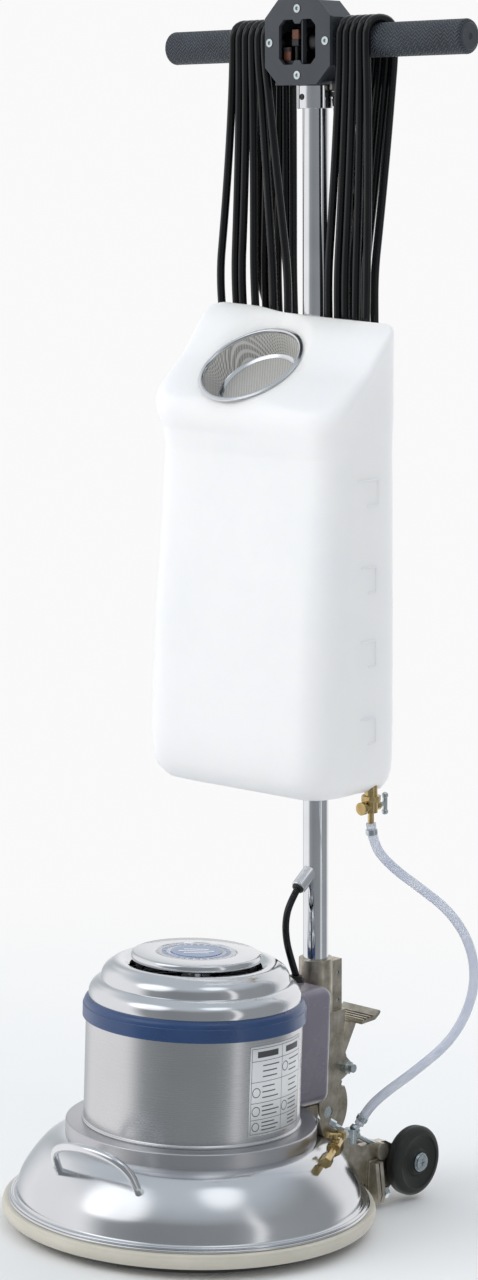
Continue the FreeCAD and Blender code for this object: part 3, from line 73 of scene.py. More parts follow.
def place_object(name, data):
    obj = bpy.data.objects.new(name, data)
    bpy.context.scene.collection.objects.link(obj)
    return obj


def toward(point, direction):
    """A frame at a point, in millimetres, whose Z runs along a direction."""
    return Matrix.Translation(Vector(point)) @ Vector(direction).to_track_quat("Z", "Y").to_matrix().to_4x4()


def ease(t):
    """0 to 1 with a soft start and stop."""
    t = max(0.0, min(1.0, t))
    return t * t * (3 - 2 * t)


# ---------------------------------------------------------------- camera

def add_camera():
    """The photograph's view: bearing, fall and roll in degrees, and the place in metres."""
    yaw, pitch, roll = (math.radians(a) for a in (43.0 - 0.64981, 6.75841, 1.73722))
    place = (1.9031, -2.0408, 0.8956)
    ahead = Vector((-math.sin(yaw) * math.cos(pitch), math.cos(yaw) * math.cos(pitch), -math.sin(pitch)))
    level = ahead.cross(Vector((0, 0, 1))).normalized()
    up = level.cross(ahead)
    right = math.cos(roll) * level + math.sin(roll) * up
    top = -math.sin(roll) * level + math.cos(roll) * up
    data = bpy.data.cameras.new("camera")
    data.lens, data.sensor_width, data.sensor_fit = 83.79, 36.0, "AUTO"
    data.clip_end = 60.0
    camera = place_object("camera", data)
    camera.matrix_world = Matrix((
        (right.x, top.x, -ahead.x, place[0]), (right.y, top.y, -ahead.y, place[1]),
        (right.z, top.z, -ahead.z, place[2]), (0, 0, 0, 1)))
    bpy.context.scene.camera = camera


add_camera()

# ---------------------------------------------------------------- materials


class Nodes:
    """A small builder for one node tree."""

    def __init__(self, owner):
        owner.use_nodes = True
        self.tree = owner.node_tree

    def add(self, kind, **values):
        node = self.tree.nodes.new(kind)
        for key, value in values.items():
            if hasattr(node, key):
                setattr(node, key, value)
            else:
                node.inputs[key.replace("_", " ")].default_value = value
        return node

    def link(self, source, target):
        self.tree.links.new(source, target)

    def math(self, operation, a, b=None, c=None):
        node = self.add("ShaderNodeMath", operation=operation)
        for index, value in enumerate((a, b, c)):
            if value is None:
                continue
            if isinstance(value, (int, float)):
                node.inputs[index].default_value = value
            else:
                self.link(value, node.inputs[index])
        return node.outputs[0]

    def coords(self, scale=(1, 1, 1), kind="Object"):
        source = self.add("ShaderNodeTexCoord")
        mapping = self.add("ShaderNodeMapping", Scale=scale)
        self.link(source.outputs[kind], mapping.inputs["Vector"])
        return mapping.outputs["Vector"]

    def noise(self, vector, scale=1.0, detail=4.0, rough=0.55):
        node = self.add("ShaderNodeTexNoise", Scale=scale, Detail=detail, Roughness=rough)
        self.link(vector, node.inputs["Vector"])
        return node.outputs["Fac"]

    def ramp(self, value, stops, kind="LINEAR"):
        node = self.add("ShaderNodeValToRGB")
        node.color_ramp.interpolation = kind
        elements = node.color_ramp.elements
        while len(elements) < len(stops):
            elements.new(0.5)
        for element, (place, colour) in zip(elements, stops):
            element.position = place
            element.color = (*colour, 1.0)
        self.link(value, node.inputs["Fac"])
        return node.outputs["Color"]

    def span(self, value, low, high, f0=0.3, f1=0.7, kind="LINEAR"):
        node = self.add("ShaderNodeMapRange", interpolation_type=kind, From_Min=f0, From_Max=f1, To_Min=low,
                        To_Max=high)
        self.link(value, node.inputs["Value"])
        return node.outputs["Result"]

    def bump(self, height, distance, strength=1.0, normal=None):
        node = self.add("ShaderNodeBump", Distance=distance, Strength=strength)
        self.link(height, node.inputs["Height"])
        if normal is not None:
            self.link(normal, node.inputs["Normal"])
        return node.outputs["Normal"]

    def split(self, vector):
        node = self.add("ShaderNodeSeparateXYZ")
        self.link(vector, node.inputs["Vector"])
        return node.outputs


class Look(Nodes):
    """A material built round its own shader."""

    def __init__(self, name):
        self.material = bpy.data.materials.new(name)
        super().__init__(self.material)
        self.shader = self.tree.nodes["Principled BSDF"]

    def soft_edges(self, radius):
        return self.add("ShaderNodeBevel", samples=4, Radius=radius).outputs["Normal"]

    def set(self, **values):
        for key, value in values.items():
            self.shader.inputs[key.replace("_", " ")].default_value = value

    def plug(self, **sources):
        for key, source in sources.items():
            self.link(source, self.shader.inputs[key.replace("_", " ")])

    def mottle(self, dark, light, scale, detail=5, rough=0.55):
        """Blotches that carry the colour, and are handed back to vary the gloss."""
        broad = self.noise(self.coords(), scale, detail, rough)
        self.plug(Base_Color=self.ramp(broad, [(0.3, dark), (0.7, light)]))
        return broad


def metal(name, dark, light, rough, grain=900, depth=0.00001, blotch=25.0, edges=0.0, brushed=None, metallic=1.0):
    """A bare metal: colour blotches, a roughness that varies, and a fine grain or a brush along the turned UV."""
    n = Look(name + "_look")
    n.set(Metallic=metallic)
    broad = n.mottle(dark, light, blotch)
    fine = n.noise(n.coords(brushed, "UV") if brushed else n.coords((grain, grain, grain)), 1.0, 3)
    n.plug(Roughness=n.math("ADD", n.span(broad, rough[0], rough[1]), n.span(fine, -0.03, 0.03)))
    normal = n.soft_edges(edges) if edges else None
    n.plug(Normal=n.bump(fine, depth, 0.6, normal))
    return n.material


def plain(name, dark, light, rough, grain=700.0, depth=0.00003, blotch=18.0, edges=0.0, coat=0.0, specular=0.5):
    """A plastic, rubber or paint with mottled colour, a varying gloss and a fine skin."""
    n = Look(name + "_look")
    n.plug(Roughness=n.span(n.mottle(dark, light, blotch), rough[0], rough[1]))
    normal = n.soft_edges(edges) if edges else None
    n.plug(Normal=n.bump(n.noise(n.coords(), grain, 4), depth, 0.5, normal))
    n.set(Coat_Weight=coat, Coat_Roughness=0.08, Specular_IOR_Level=specular)
    return n.material


CHROME = metal("mirror_chrome", (0.72, 0.73, 0.75), (0.80, 0.81, 0.83), (0.035, 0.07), 300, depth=0.000002)
SPUN = metal("spun_stainless", (0.66, 0.67, 0.69), (0.74, 0.75, 0.77), (0.10, 0.16), depth=0.000006, blotch=12.0,
             brushed=(6, 2600, 1))
DOME = metal("dome_stainless", (0.64, 0.65, 0.67), (0.72, 0.73, 0.75), (0.13, 0.19), depth=0.000008, blotch=9.0,
             brushed=(5, 2200, 1))
BRUSHED = metal("brushed_stainless", (0.60, 0.60, 0.61), (0.68, 0.68, 0.69), (0.24, 0.30), depth=0.000012,
                blotch=8.0, brushed=(7, 1800, 1))
COLLAR = metal("collar", (0.50, 0.50, 0.52), (0.60, 0.60, 0.62), (0.32, 0.40), depth=0.00002, blotch=10.0,
               brushed=(5, 2000, 1))
STEEL = metal("machined_steel", (0.42, 0.42, 0.43), (0.56, 0.56, 0.57), (0.25, 0.38), 700, edges=0.0004)
ZINC = metal("zinc", (0.50, 0.57, 0.60), (0.70, 0.76, 0.78), (0.16, 0.30), 600, blotch=160.0, edges=0.0004)
BRASS = metal("brass", (0.44, 0.32, 0.14), (0.70, 0.54, 0.27), (0.14, 0.26), 600, blotch=120.0, edges=0.0005)
ALUMINIUM = metal("cast_aluminium", (0.50, 0.50, 0.51), (0.62, 0.62, 0.63), (0.38, 0.5), 500, depth=0.00008,
                  edges=0.0006)
COPPER = metal("copper", (0.40, 0.16, 0.08), (0.62, 0.30, 0.16), (0.28, 0.4), 500)
# machined steel darkened to stand for the shade inside the head: painted shade, not an oxide finish
PAINTED_SHADE_STEEL = metal("painted_shade_steel", (0.045, 0.045, 0.05), (0.085, 0.085, 0.09), (0.35, 0.5), 600)
FOIL = metal("plate_foil", (0.80, 0.81, 0.82), (0.88, 0.89, 0.90), (0.38, 0.48), depth=0.000006,
             brushed=(8, 1500, 1), metallic=0.12)


def casting_material():
    """Nickel-plated casting: warm grey, sandy grain, duller and browner in random blotches."""
    n = Look("cast_nickel_look")
    n.set(Metallic=0.9)
    broad = n.noise(n.coords(), 60.0, 8, 0.65)
    n.plug(Base_Color=n.ramp(broad, [(0.25, (0.25, 0.215, 0.165)), (0.5, (0.45, 0.41, 0.335)),
                                     (0.75, (0.68, 0.64, 0.545))]))
    n.plug(Roughness=n.span(broad, 0.42, 0.27))
    sand = n.noise(n.coords(), 420.0, 6)
    n.plug(Normal=n.bump(sand, 0.00018, 0.55, n.soft_edges(0.0009)))
    return n.material


def tank_material():
    """Blow-moulded natural polyethylene: milky, translucent, faintly cloudy."""
    n = Look("tank_plastic_look")
    cloud = n.mottle((0.90, 0.91, 0.93), (0.96, 0.965, 0.975), 7.0, 4)
    n.plug(Roughness=n.span(cloud, 0.42, 0.34))
    n.set(Subsurface_Weight=0.6, Subsurface_Radius=(0.03, 0.03, 0.035), Subsurface_Scale=0.6, Specular_IOR_Level=0.4)
    n.plug(Normal=n.bump(n.noise(n.coords(), 260.0, 3), 0.00008, 0.35))
    return n.material


def hose_material():
    """Clear soft vinyl with a lilac tint."""
    n = Look("clear_hose_look")
    cloud = n.mottle((0.70, 0.74, 0.86), (0.84, 0.87, 0.95), 40.0, 3)
    n.plug(Roughness=n.span(cloud, 0.10, 0.2))
    n.set(Transmission_Weight=0.35, IOR=1.35, Subsurface_Weight=0.3, Subsurface_Radius=(0.01, 0.01, 0.012),
          Coat_Weight=0.4)
    n.plug(Normal=n.bump(n.noise(n.coords(), 300.0, 3), 0.00005, 0.4))
    return n.material


def grip_material():
    """Slate rubber with a moulded herringbone, drawn on the grip's unrolled surface in metres."""
    n = Look("grip_rubber_look")
    step, rise = 0.0036, 0.0042
    across = n.split(n.add("ShaderNodeTexCoord").outputs["UV"])
    zigzag = n.math("PINGPONG", across["Y"], rise)
    ridge = n.math("SINE", n.math("MULTIPLY", n.math("ADD", across["X"], zigzag), 2 * math.pi / step))
    broad = n.noise(n.coords(), 40.0, 4)
    # colour darker in the herringbone grooves and lighter on its ridges is painted shade and light; the broad blotches
    # are the rubber's own tone
    groove_shade_and_tone = n.math("ADD", n.math("MULTIPLY_ADD", ridge, 0.24, 0.06), n.math("MULTIPLY", broad, 0.6))
    n.plug(Base_Color=n.ramp(groove_shade_and_tone, [(0.0, (0.010, 0.013, 0.017)), (0.7, (0.070, 0.083, 0.105))]))
    n.plug(Roughness=n.span(broad, 0.5, 0.62))
    n.plug(Normal=n.bump(ridge, 0.00045, 0.9))
    return n.material


CASTING = casting_material()
TANK = tank_material()
HOSE = hose_material()
GRIP = grip_material()
BLUE = plain("blue_plastic", (0.018, 0.052, 0.150), (0.026, 0.068, 0.185), (0.26, 0.34), coat=0.15)
VINYL = plain("bumper_vinyl", (0.58, 0.545, 0.46), (0.66, 0.625, 0.54), (0.42, 0.55), 500.0, 0.00006)
LAVENDER = plain("lavender_paint", (0.175, 0.162, 0.200), (0.210, 0.196, 0.238), (0.22, 0.3), 900.0, 0.00002,
                 edges=0.001, coat=0.35)
RUBBER = plain("black_rubber", (0.018, 0.019, 0.018), (0.032, 0.033, 0.031), (0.42, 0.55), 600.0, 0.00005,
               specular=0.35)
HEAD = plain("head_paint", (0.034, 0.039, 0.047), (0.050, 0.057, 0.067), (0.34, 0.44), 1300.0, 0.00006,
             edges=0.0006)
CORD = plain("cord_vinyl", (0.003, 0.0035, 0.004), (0.006, 0.0065, 0.007), (0.10, 0.17), 500.0, 0.00001,
             blotch=30.0, specular=0.38)
BLACK = plain("switch_plastic", (0.008, 0.008, 0.009), (0.018, 0.018, 0.019), (0.35, 0.5), edges=0.0004)
BLOCK = plain("brush_block", (0.05, 0.09, 0.16), (0.08, 0.13, 0.21), (0.4, 0.55), edges=0.0008)
BADGE_BLUE = plain("badge_blue", (0.055, 0.13, 0.30), (0.085, 0.18, 0.38), (0.2, 0.28), coat=0.4)
PRINT_INK = plain("print_ink", (0.05, 0.05, 0.055), (0.09, 0.09, 0.10), (0.4, 0.5))
CONTACT = plain("contact", (0.085, 0.030, 0.018), (0.17, 0.062, 0.036), (0.3, 0.42))
MARKS = plain("tank_marks", (0.86, 0.88, 0.91), (0.92, 0.94, 0.96), (0.35, 0.45))
LOOKS = {
    "mirror_chrome": CHROME, "brushed_stainless": BRUSHED, "blue_plastic": BLUE, "beige_vinyl": VINYL,
    "cast_nickel": CASTING, "zinc_steel": ZINC, "brass": BRASS, "lavender_paint": LAVENDER, "black_rubber": RUBBER,
    "grip_rubber": GRIP, "head_paint": HEAD, "tank_plastic": TANK, "clear_hose": HOSE, "cord_vinyl": CORD,
    "machined_steel": STEEL, "cast_aluminium": ALUMINIUM, "copper_winding": COPPER, "switch_plastic": BLACK,
    "block_plastic": BLOCK, "bristle_nylon": BLACK, "plate_foil": FOIL}
for part in frame["record"]["subparts"]:
    obj = frame["nodes"][part["node"]]
    if not obj.material_slots:
        obj.data.materials.append(None)
    for place in obj.material_slots:
        # the twist bar takes the darkened steel as painted shade for the inside of the head
        place.material = PAINTED_SHADE_STEEL if part["node"] == "twist_bar" else LOOKS[part["material_slot"]]

# ---------------------------------------------------------------- mesh helpers


def run(start, *moves):
    """Profile points: a move is a point, or a pair (point on the arc, end of the arc)."""
    points = [Vector(start)]
    for move in moves:
        if not isinstance(move[0], tuple):
            points.append(Vector(move))
            continue
        a, m, b = points[-1], Vector(move[0]), Vector(move[1])
        d = 2 * (a.x * (m.y - b.y) + m.x * (b.y - a.y) + b.x * (a.y - m.y))
        sq = [p.length_squared for p in (a, m, b)]
        cx = (sq[0] * (m.y - b.y) + sq[1] * (b.y - a.y) + sq[2] * (a.y - m.y)) / d
        cy = (sq[0] * (b.x - m.x) + sq[1] * (a.x - b.x) + sq[2] * (m.x - a.x)) / d
        centre = Vector((cx, cy))
        angle = [math.atan2(p.y - cy, p.x - cx) for p in (a, m, b)]
        turn = (angle[2] - angle[0]) % (2 * math.pi)
        if (angle[1] - angle[0]) % (2 * math.pi) > turn:
            turn -= 2 * math.pi
        steps = max(6, int(abs(turn) / 0.12))
        radius = (a - centre).length
        for k in range(1, steps + 1):
            t = angle[0] + turn * k / steps
            points.append(centre + radius * Vector((math.cos(t), math.sin(t))))
    return points


def mesh_of(bm, name, outward=False):
    """A mesh from a bmesh, which is then freed."""
    if outward:
        bmesh.ops.recalc_face_normals(bm, faces=bm.faces)
    mesh = bpy.data.meshes.new(name)
    bm.to_mesh(mesh)
    bm.free()
    return mesh


def bridge(bm, a, b):
    """Quads between two closed rings of as many vertices."""
    for k in range(len(a)):
        j = (k + 1) % len(a)
        bm.faces.new((a[k], a[j], b[j], b[k]))


def finish_mesh(name, mesh, matrix, body, look, stands_for=(), angle=32.0):
    mesh.transform(matrix)
    obj = place_object(name, mesh)
    mesh.materials.append(look)
    mesh.shade_smooth()
    mesh.set_sharp_from_angle(angle=math.radians(angle))
    if body:
        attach(obj, body)
    if stands_for:
        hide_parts(*stands_for)
    return obj


def lathe(name, profile, matrix, body, look, stands_for=(), closed=True, segments=144, angle=32.0):
    """A turned piece about local Z from (radius, height) points, unrolled in its UV map in metres."""
    bm = bmesh.new()
    uv = bm.loops.layers.uv.new("unrolled")
    lengths = [0.0]
    loop = list(profile) + ([profile[0]] if closed else [])
    for a, b in zip(loop, loop[1:]):
        lengths.append(lengths[-1] + (b - a).length)
    rings = []
    for p in profile:
        if p.x < 1e-6:
            rings.append([bm.verts.new((0, 0, p.y))] * segments)
            continue
        rings.append([bm.verts.new((p.x * math.cos(2 * math.pi * k / segments),
                                    p.x * math.sin(2 * math.pi * k / segments), p.y)) for k in range(segments)])
    if closed:
        rings.append(rings[0])
    widest = max(p.x for p in profile)
    for i in range(len(rings) - 1):
        for k in range(segments):
            j = (k + 1) % segments
            corners = [(rings[i][k], k, i), (rings[i][j], k + 1, i), (rings[i + 1][j], k + 1, i + 1),
                       (rings[i + 1][k], k, i + 1)]
            kept = []
            for corner in corners:
                if corner[0] not in [c[0] for c in kept]:
                    kept.append(corner)
            if len(kept) < 3:
                continue
            face = bm.faces.new([c[0] for c in kept])
            for item, (_, turn, level) in zip(face.loops, kept):
                item[uv].uv = (2 * math.pi * widest * turn / segments * 0.001, lengths[level] * 0.001)
    return finish_mesh(name, mesh_of(bm, name, True), matrix, body, look, stands_for, angle)


def spline_curve(name, points, radius, matrix=WORLD, resolution=8):
    """A quadratic NURBS curve through the frame's millimetre control points."""
    data = bpy.data.curves.new(name, "CURVE")
    data.dimensions = "3D"
    data.resolution_u = resolution
    spline = data.splines.new("NURBS")
    spline.points.add(len(points) - 1)
    for place, p in zip(spline.points, points):
        place.co = (*(matrix @ Vector(p)), 1.0)
    spline.order_u = 3
    spline.use_endpoint_u = True
    data.bevel_depth = radius
    data.bevel_resolution = 6
    return place_object(name, data)


def centreline(points, matrix=WORLD, resolution=12):
    """Points read from the bare NURBS spline of a route."""
    bare = spline_curve("bare_route", points, 0.0, matrix, resolution)
    bpy.context.view_layer.update()
    mesh = bpy.data.meshes.new_from_object(bare)
    line = [v.co.copy() for v in mesh.vertices]
    data = bare.data
    bpy.data.objects.remove(bare)
    bpy.data.curves.remove(data)
    bpy.data.meshes.remove(mesh)
    return line


def tube_mesh(name, line, radius, sides=28):
    """A closed round bar along points in metres."""
    bm = bmesh.new()
    across = None
    rings = []
    for k, p in enumerate(line):
        ahead = (line[min(k + 1, len(line) - 1)] - line[max(k - 1, 0)]).normalized()
        if across is None:
            across = ahead.orthogonal().normalized()
        across = (across - ahead * across.dot(ahead)).normalized()
        other = ahead.cross(across)
        rings.append([bm.verts.new(p + radius * (math.cos(t) * across + math.sin(t) * other))
                      for t in (2 * math.pi * s / sides for s in range(sides))])
    for a, b in zip(rings, rings[1:]):
        bridge(bm, a, b)
    bm.faces.new(rings[0])
    bm.faces.new(rings[-1])
    return mesh_of(bm, name, True)


def rounded_box(size, radius, steps=3):
    """A box centred on the origin with rounded edges, in millimetres."""
    bm = bmesh.new()
    bmesh.ops.create_cube(bm, size=1.0)
    bmesh.ops.scale(bm, vec=size, verts=bm.verts)
    bmesh.ops.bevel(bm, geom=bm.edges[:], offset=radius, segments=steps, profile=0.5, affect="EDGES")
    return mesh_of(bm, "rounded")


def boxes(name, parts):
    """One mesh of several rounded boxes, each as (size, centre, edge radius, steps)."""
    bm = bmesh.new()
    for size, centre, radius, steps in parts:
        part = rounded_box(size, radius, steps)
        part.transform(Matrix.Translation(centre))
        bm.from_mesh(part)
    return mesh_of(bm, name)


# ---------------------------------------------------------------- mains cord

LEAD_START = (26.0, 4.0, 1008.0)
PLUG_TOP = (-18.0, 42.0, 532.0)
# x of each loop's strands at the height FAN_Z, right (1) and left (-1), and the strands' heights
FAN_Z = 835.0
FRONT_FAN = {1: (21.0, 32.0, 43.0, 55.0, 67.5), -1: (31.0, 52.6, 77.0, 93.0, 101.0, 122.0)}
BACK_FAN = {1: (15.0, 25.0, 35.0, 45.0, 55.0), -1: (48.0, 57.0, 69.0, 79.0, 87.0, 95.0)}
OVER_BAR = 20.2         # from the bar's middle to the cord's, over a grip
BEHIND_TANK = 0.395     # share of the way down at which the front strands pass behind the tank
HEIGHTS = (1004.0, 962.0, 920.0, 878.0, 835.0, 785.0, 728.0, 668.0, 608.0, 552.0)


def bar_lane(k):
    """How far out loop k lies on the bar."""
    return 47.5 + 8.2 * k


def hook_lane(k):
    """How far out loop k lies on the hook."""
    return 22.0 + 8.05 * k


def lane(top, fan, low, h):
    """x of a strand at height h: side by side on the bar, fanned out under it, gathered again at the hook."""
    if h > FAN_Z:
        s = (HEAD_Z - h) / (HEAD_Z - FAN_Z)
        return top + (fan - top) * s ** 1.25
    s = (FAN_Z - h) / (FAN_Z - HOOK_Z)
    return fan + (low - fan) * ease(s)


def strand(side, k, fan, face):
    """A hanging strand from the bar down to the hook, on the front (-1) or the back (1) of the loops."""
    sway = random.uniform(-1.5, 1.5), random.uniform(-1.0, 1.0)
    points = []
    for h in HEIGHTS:
        s = (HEAD_Z - h) / (HEAD_Z - HOOK_Z)
        x = lane(bar_lane(k), fan, hook_lane(k), h)
        x += sway[0] * math.sin(math.pi * s) + sway[1] * math.sin(2 * math.pi * s)
        if face < 0:
            y = -OVER_BAR + 15.2 * min(1.0, s / BEHIND_TANK) + 3.8 * max(0.0, s - BEHIND_TANK) / (1.0 - BEHIND_TANK)
        else:
            y = OVER_BAR + 4.8 * s
        points.append((side * x, y, h))
    return points


def under_hook(side, k):
    x = side * hook_lane(k)
    low, high, front, back = HOOK_Z - 9.3, HOOK_Z + 7.0, -1.4, 25.2
    return [(x, back, high), (x, back, low), (x, front, low), (x, front, high)]


def over_bar(side, k):
    x = side * bar_lane(k)
    low, high = HEAD_Z - 14.0, HEAD_Z + OVER_BAR
    return [(x, -OVER_BAR, low), (x, -OVER_BAR, high), (x, OVER_BAR, high), (x, OVER_BAR, low)]


def loops(side):
    """One side's loops, each from the hook up the front, over the bar and down the back."""
    points = []
    fans = list(zip(FRONT_FAN[side], BACK_FAN[side]))
    for k, (front, back) in enumerate(fans):
        points += under_hook(side, k) + list(reversed(strand(side, k, front, -1)))
        points += over_bar(side, k) + strand(side, k, back, 1)
        if k + 1 < len(fans):
            points.append((side * hook_lane(k + 0.6), 25.2, HOOK_Z + 28.0))
    return points


def mains_route():
    """Down the back from the head, five loops on the right, across behind the pole, six on the left, to the plug."""
    points = [LEAD_START, (26.5, 6.0, 975.0), (28.0, 12.0, 944.0), (33.5, 19.0, 920.0)]
    points += [(37.0, 28.0, 892.0), (34.0, 32.5, 850.0), (30.0, 33.0, 790.0), (27.0, 33.0, 730.0), (24.5, 33.0, 670.0),
               (23.0, 32.5, 610.0), (22.2, 30.0, 555.0)]
    points += loops(1)
    points[-3:] = [(50.0, 28.0, 640.0), (44.0, 33.0, 590.0), (30.0, 33.5, 556.0), (6.0, 33.0, 540.0),
                   (-14.0, 30.0, 530.0)]
    points += loops(-1)
    points[-5:] = [(-83.0, 29.0, 785.0), (-68.0, 32.5, 728.0), (-54.0, 33.0, 676.0), (-46.0, 32.0, 640.0)]
    points += [(-41.0, 33.0, 612.0), (-33.0, 39.0, 586.0), (-23.5, 42.5, 560.0), PLUG_TOP]
    return points


mains = spline_curve("mains_cord", mains_route(), CORD_D / 2, HANDLE, 7)
mains.data.materials.append(CORD)
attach(mains, "handle")
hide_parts("mains_winding_right", "mains_winding_left", "mains_lead", "mains_tail")


relief = lathe("lead_strain_relief", run(
    (4.1, -42.0), (5.2, -41.4), (5.5, -34.0), (5.0, -33.6), (5.0, -32.0), (5.9, -31.6), (6.0, -25.0), (5.4, -24.6),
    (5.4, -23.0), (6.4, -22.6), (6.6, -16.0), (5.9, -15.6), (5.9, -14.0), (7.0, -13.6), (7.4, -7.0), (6.6, -6.6),
    (6.6, -5.0), (8.2, -4.5), (8.4, -0.2), (4.1, -0.2)), HANDLE @ toward(LEAD_START, (-0.016, -0.06, 1.0)), "handle",
    BLACK, segments=48)

plug_neck = lathe("plug_neck", run(
    (4.1, 12.0), (4.8, 11.6), (5.0, 6.0), (4.6, 5.6), (4.6, 4.2), (5.4, 3.8), (5.8, -2.0), (5.2, -2.4), (5.2, -3.8),
    (6.2, -4.2), (7.2, -14.0), (7.4, -17.5), (4.1, -17.5)), HANDLE @ toward(PLUG_TOP, (-0.2, 0.03, 1.0)), "handle",
    RUBBER, segments=40)


def add_plug():
    """A moulded two-pin plug: waisted body with finger ribs, and two flat pins."""
    x, y, z = PLUG_TOP[0], PLUG_TOP[1], PLUG_TOP[2] - 30.0
    squareness, sides = 0.55, 32
    # height, half width and half depth down the body
    levels = [(14.0, 8.4, 6.6), (12.5, 10.6, 7.6), (9.0, 12.0, 8.4), (4.0, 12.4, 8.6), (-1.0, 11.9, 8.2),
              (-5.0, 11.9, 8.2), (-9.0, 12.7, 8.8), (-12.6, 12.8, 8.8), (-13.8, 12.2, 8.2)]
    bm = bmesh.new()
    rings = []
    for h, a, b in levels:
        ring = []
        for k in range(sides):
            t = 2 * math.pi * k / sides
            c, s = math.cos(t), math.sin(t)
            ring.append(bm.verts.new((a * math.copysign(abs(c) ** squareness, c),
                                      b * math.copysign(abs(s) ** squareness, s), h)))
        rings.append(ring)
    for a, b in zip(rings, rings[1:]):
        bridge(bm, a, b)
    bm.faces.new(rings[0])
    bm.faces.new(rings[-1])
    place = HANDLE @ Matrix.Translation((x, y, z))
    body = finish_mesh("plug_body", mesh_of(bm, "plug", True), place, "handle", BLACK, ("mains_plug",),
                       50.0)
    ribs = boxes("ribs", [((1.2, 8.0, 1.5), (x + side * 12.1, y, z + 2.5 - 3.4 * k), 0.4, 2)
                          for side in (-1, 1) for k in range(4)])
    pins = boxes("pins", [((6.3, 1.5, 17.0), (x + side * 6.4, y, z - 22.3), 0.5, 2) for side in (-1, 1)])
    return [body, finish_mesh("plug_ribs", ribs, HANDLE, "handle", BLACK),
            finish_mesh("plug_pins", pins, HANDLE, "handle", BRASS)]


plug = add_plug()

# ---------------------------------------------------------------- motor cable and solution hose


def handle_mm(p):
    """A point of the handle's own frame, in the machine's millimetres."""
    return tuple((HANDLE @ Vector(p)) * 1000.0)


CABLE_ROUTE = [handle_mm(OUTLET_MOUTH), (1.0, 131.0, 293.0), (2.5, 124.5, 276.0), (4.0, 125.0, 258.0),
               (5.0, 131.0, 240.0), (6.0, 139.0, 221.0)]
HOSE_ROUTE = [handle_mm((105.0, -40.0, 316.0)), (106.0, 130.0, 369.0), (117.0, 143.5, 348.0), (137.0, 165.0, 327.0),
              (157.0, 187.0, 305.0), (171.0, 202.5, 275.0), (175.5, 209.0, 242.0), (171.0, 207.0, 208.0),
              (157.0, 196.5, 173.0), (131.0, 175.0, 142.0), (108.0, 156.0, 118.0), (96.5, 147.5, 102.0),
              (90.3, 143.1, 87.2)]


def crossing_line(name, route, diameter, look, node):
    """A cable or hose between the handle and the base, built as one fixed tube."""
    line = centreline(route)
    mesh = tube_mesh(name, line, diameter / 2.0)
    mesh.materials.append(look)
    mesh.shade_smooth()
    obj = place_object(name, mesh)
    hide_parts(node)
    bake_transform(obj)
    return obj, line


cable, cable_line = crossing_line("motor_cable_skin", CABLE_ROUTE, CABLE_D, CORD, "motor_cable")
hose, hose_line = crossing_line("solution_hose_skin", HOSE_ROUTE, HOSE_D, HOSE, "solution_hose")

# ---------------------------------------------------------------- covers of the drive unit

# each cover's name, look, slot, the node it stands for, and its outline as (radius, height), which repeats the model's
COVERS = (
    ("dome_skin", DOME, "mirror_chrome", "dome_cover", run(
        (98.0, 86.0), (119.0, 86.0), (121.0, 86.0), ((135.0, 81.2), (145.0, 72.6)), ((154.3, 60.6), (162.0, 47.8)),
        ((165.0, 39.0), (166.0, 30.5)), ((167.2, 28.2), (169.8, 27.6)), ((172.4, 28.4), (172.4, 26.2)),
        ((174.42, 24.95), (173.0, 23.5)), (165.4, 23.5), ((164.2, 26.0), (164.0, 30.5)),
        ((163.0, 39.0), (160.0, 46.6)), ((152.3, 59.4), (143.8, 70.6)), ((133.8, 79.2), (121.0, 84.0)), (98.0, 84.0))),
    ("bumper_skin", VINYL, "beige_vinyl", "bumper_ring", run(
        (163.5, 11.0), (177.0, 10.0), ((180.0, 15.0), (179.0, 21.0)), ((178.2, 22.9), (177.0, 23.5)), (163.5, 23.5))),
    ("motor_body_skin", BRUSHED, "brushed_stainless", "motor_body", run(
        (102.0, 100.5), (105.0, 100.5), ((105.6, 101.7), (104.6, 102.9)), (104.0, 103.7), (104.0, 160.0),
        (104.0, 201.5), (102.0, 201.5))),
    ("blue_band_skin", BLUE, "blue_plastic", "blue_band", run(
        (95.5, 201.5), (106.2, 201.5), ((107.0, 201.8), (107.2, 202.6)), (107.2, 213.2),
        ((107.0, 214.1), (106.2, 214.7)), ((104.8, 219.0), (101.9, 221.0)), (95.5, 221.0))),
    ("cap_skin", SPUN, "mirror_chrome", "cap_cover", run(
        (99.7, 221.0), (101.5, 221.0), ((101.0, 229.6), (96.5, 235.2)), ((93.6, 237.4), (90.6, 238.6)),
        ((88.6, 247.0), (82.5, 252.8)), ((75.5, 256.4), (68.0, 254.8)), (63.5, 251.5), (63.5, 249.5), (65.5, 249.5),
        (69.0, 252.9), ((75.0, 254.3), (81.2, 251.2)), ((86.8, 246.0), (88.8, 237.6)), (95.2, 233.6),
        ((99.2, 228.6), (99.7, 221.0)))),
    ("top_disc_skin", SPUN, "brushed_stainless", "top_disc", run(
        (0.0, 258.6), (56.0, 258.6), (57.0, 257.0), (61.5, 257.0), ((62.5, 260.0), (61.3, 263.7)), (59.5, 264.5),
        (39.5, 264.5), (38.5, 263.3), (0.0, 263.3))),
    ("collar_skin", COLLAR, "machined_steel", "collar_ring", run(
        (118.0, 86.0), (121.0, 86.0), (121.0, 99.0), ((120.5, 100.0), (119.5, 100.5)), (98.0, 100.5), (98.0, 98.0),
        (118.0, 98.0))))
for name, look, slot, node, profile in COVERS:
    lathe(name, profile, WORLD, "base", look, (node,), segments=FINE_TURN)
POST = run((0.0, 224.0), (6.0, 224.0), (6.0, 226.0), (4.0, 227.0), (4.0, 259.0), (0.0, 259.0))
for k in range(4):
    angle = math.radians(45.0 + 90.0 * k)
    place = WORLD @ Matrix.Translation((54.0 * math.cos(angle), 54.0 * math.sin(angle), 0))
    lathe("disc_post_%d" % (k + 1), POST, place, "base", STEEL, segments=32)

# ---------------------------------------------------------------- badge

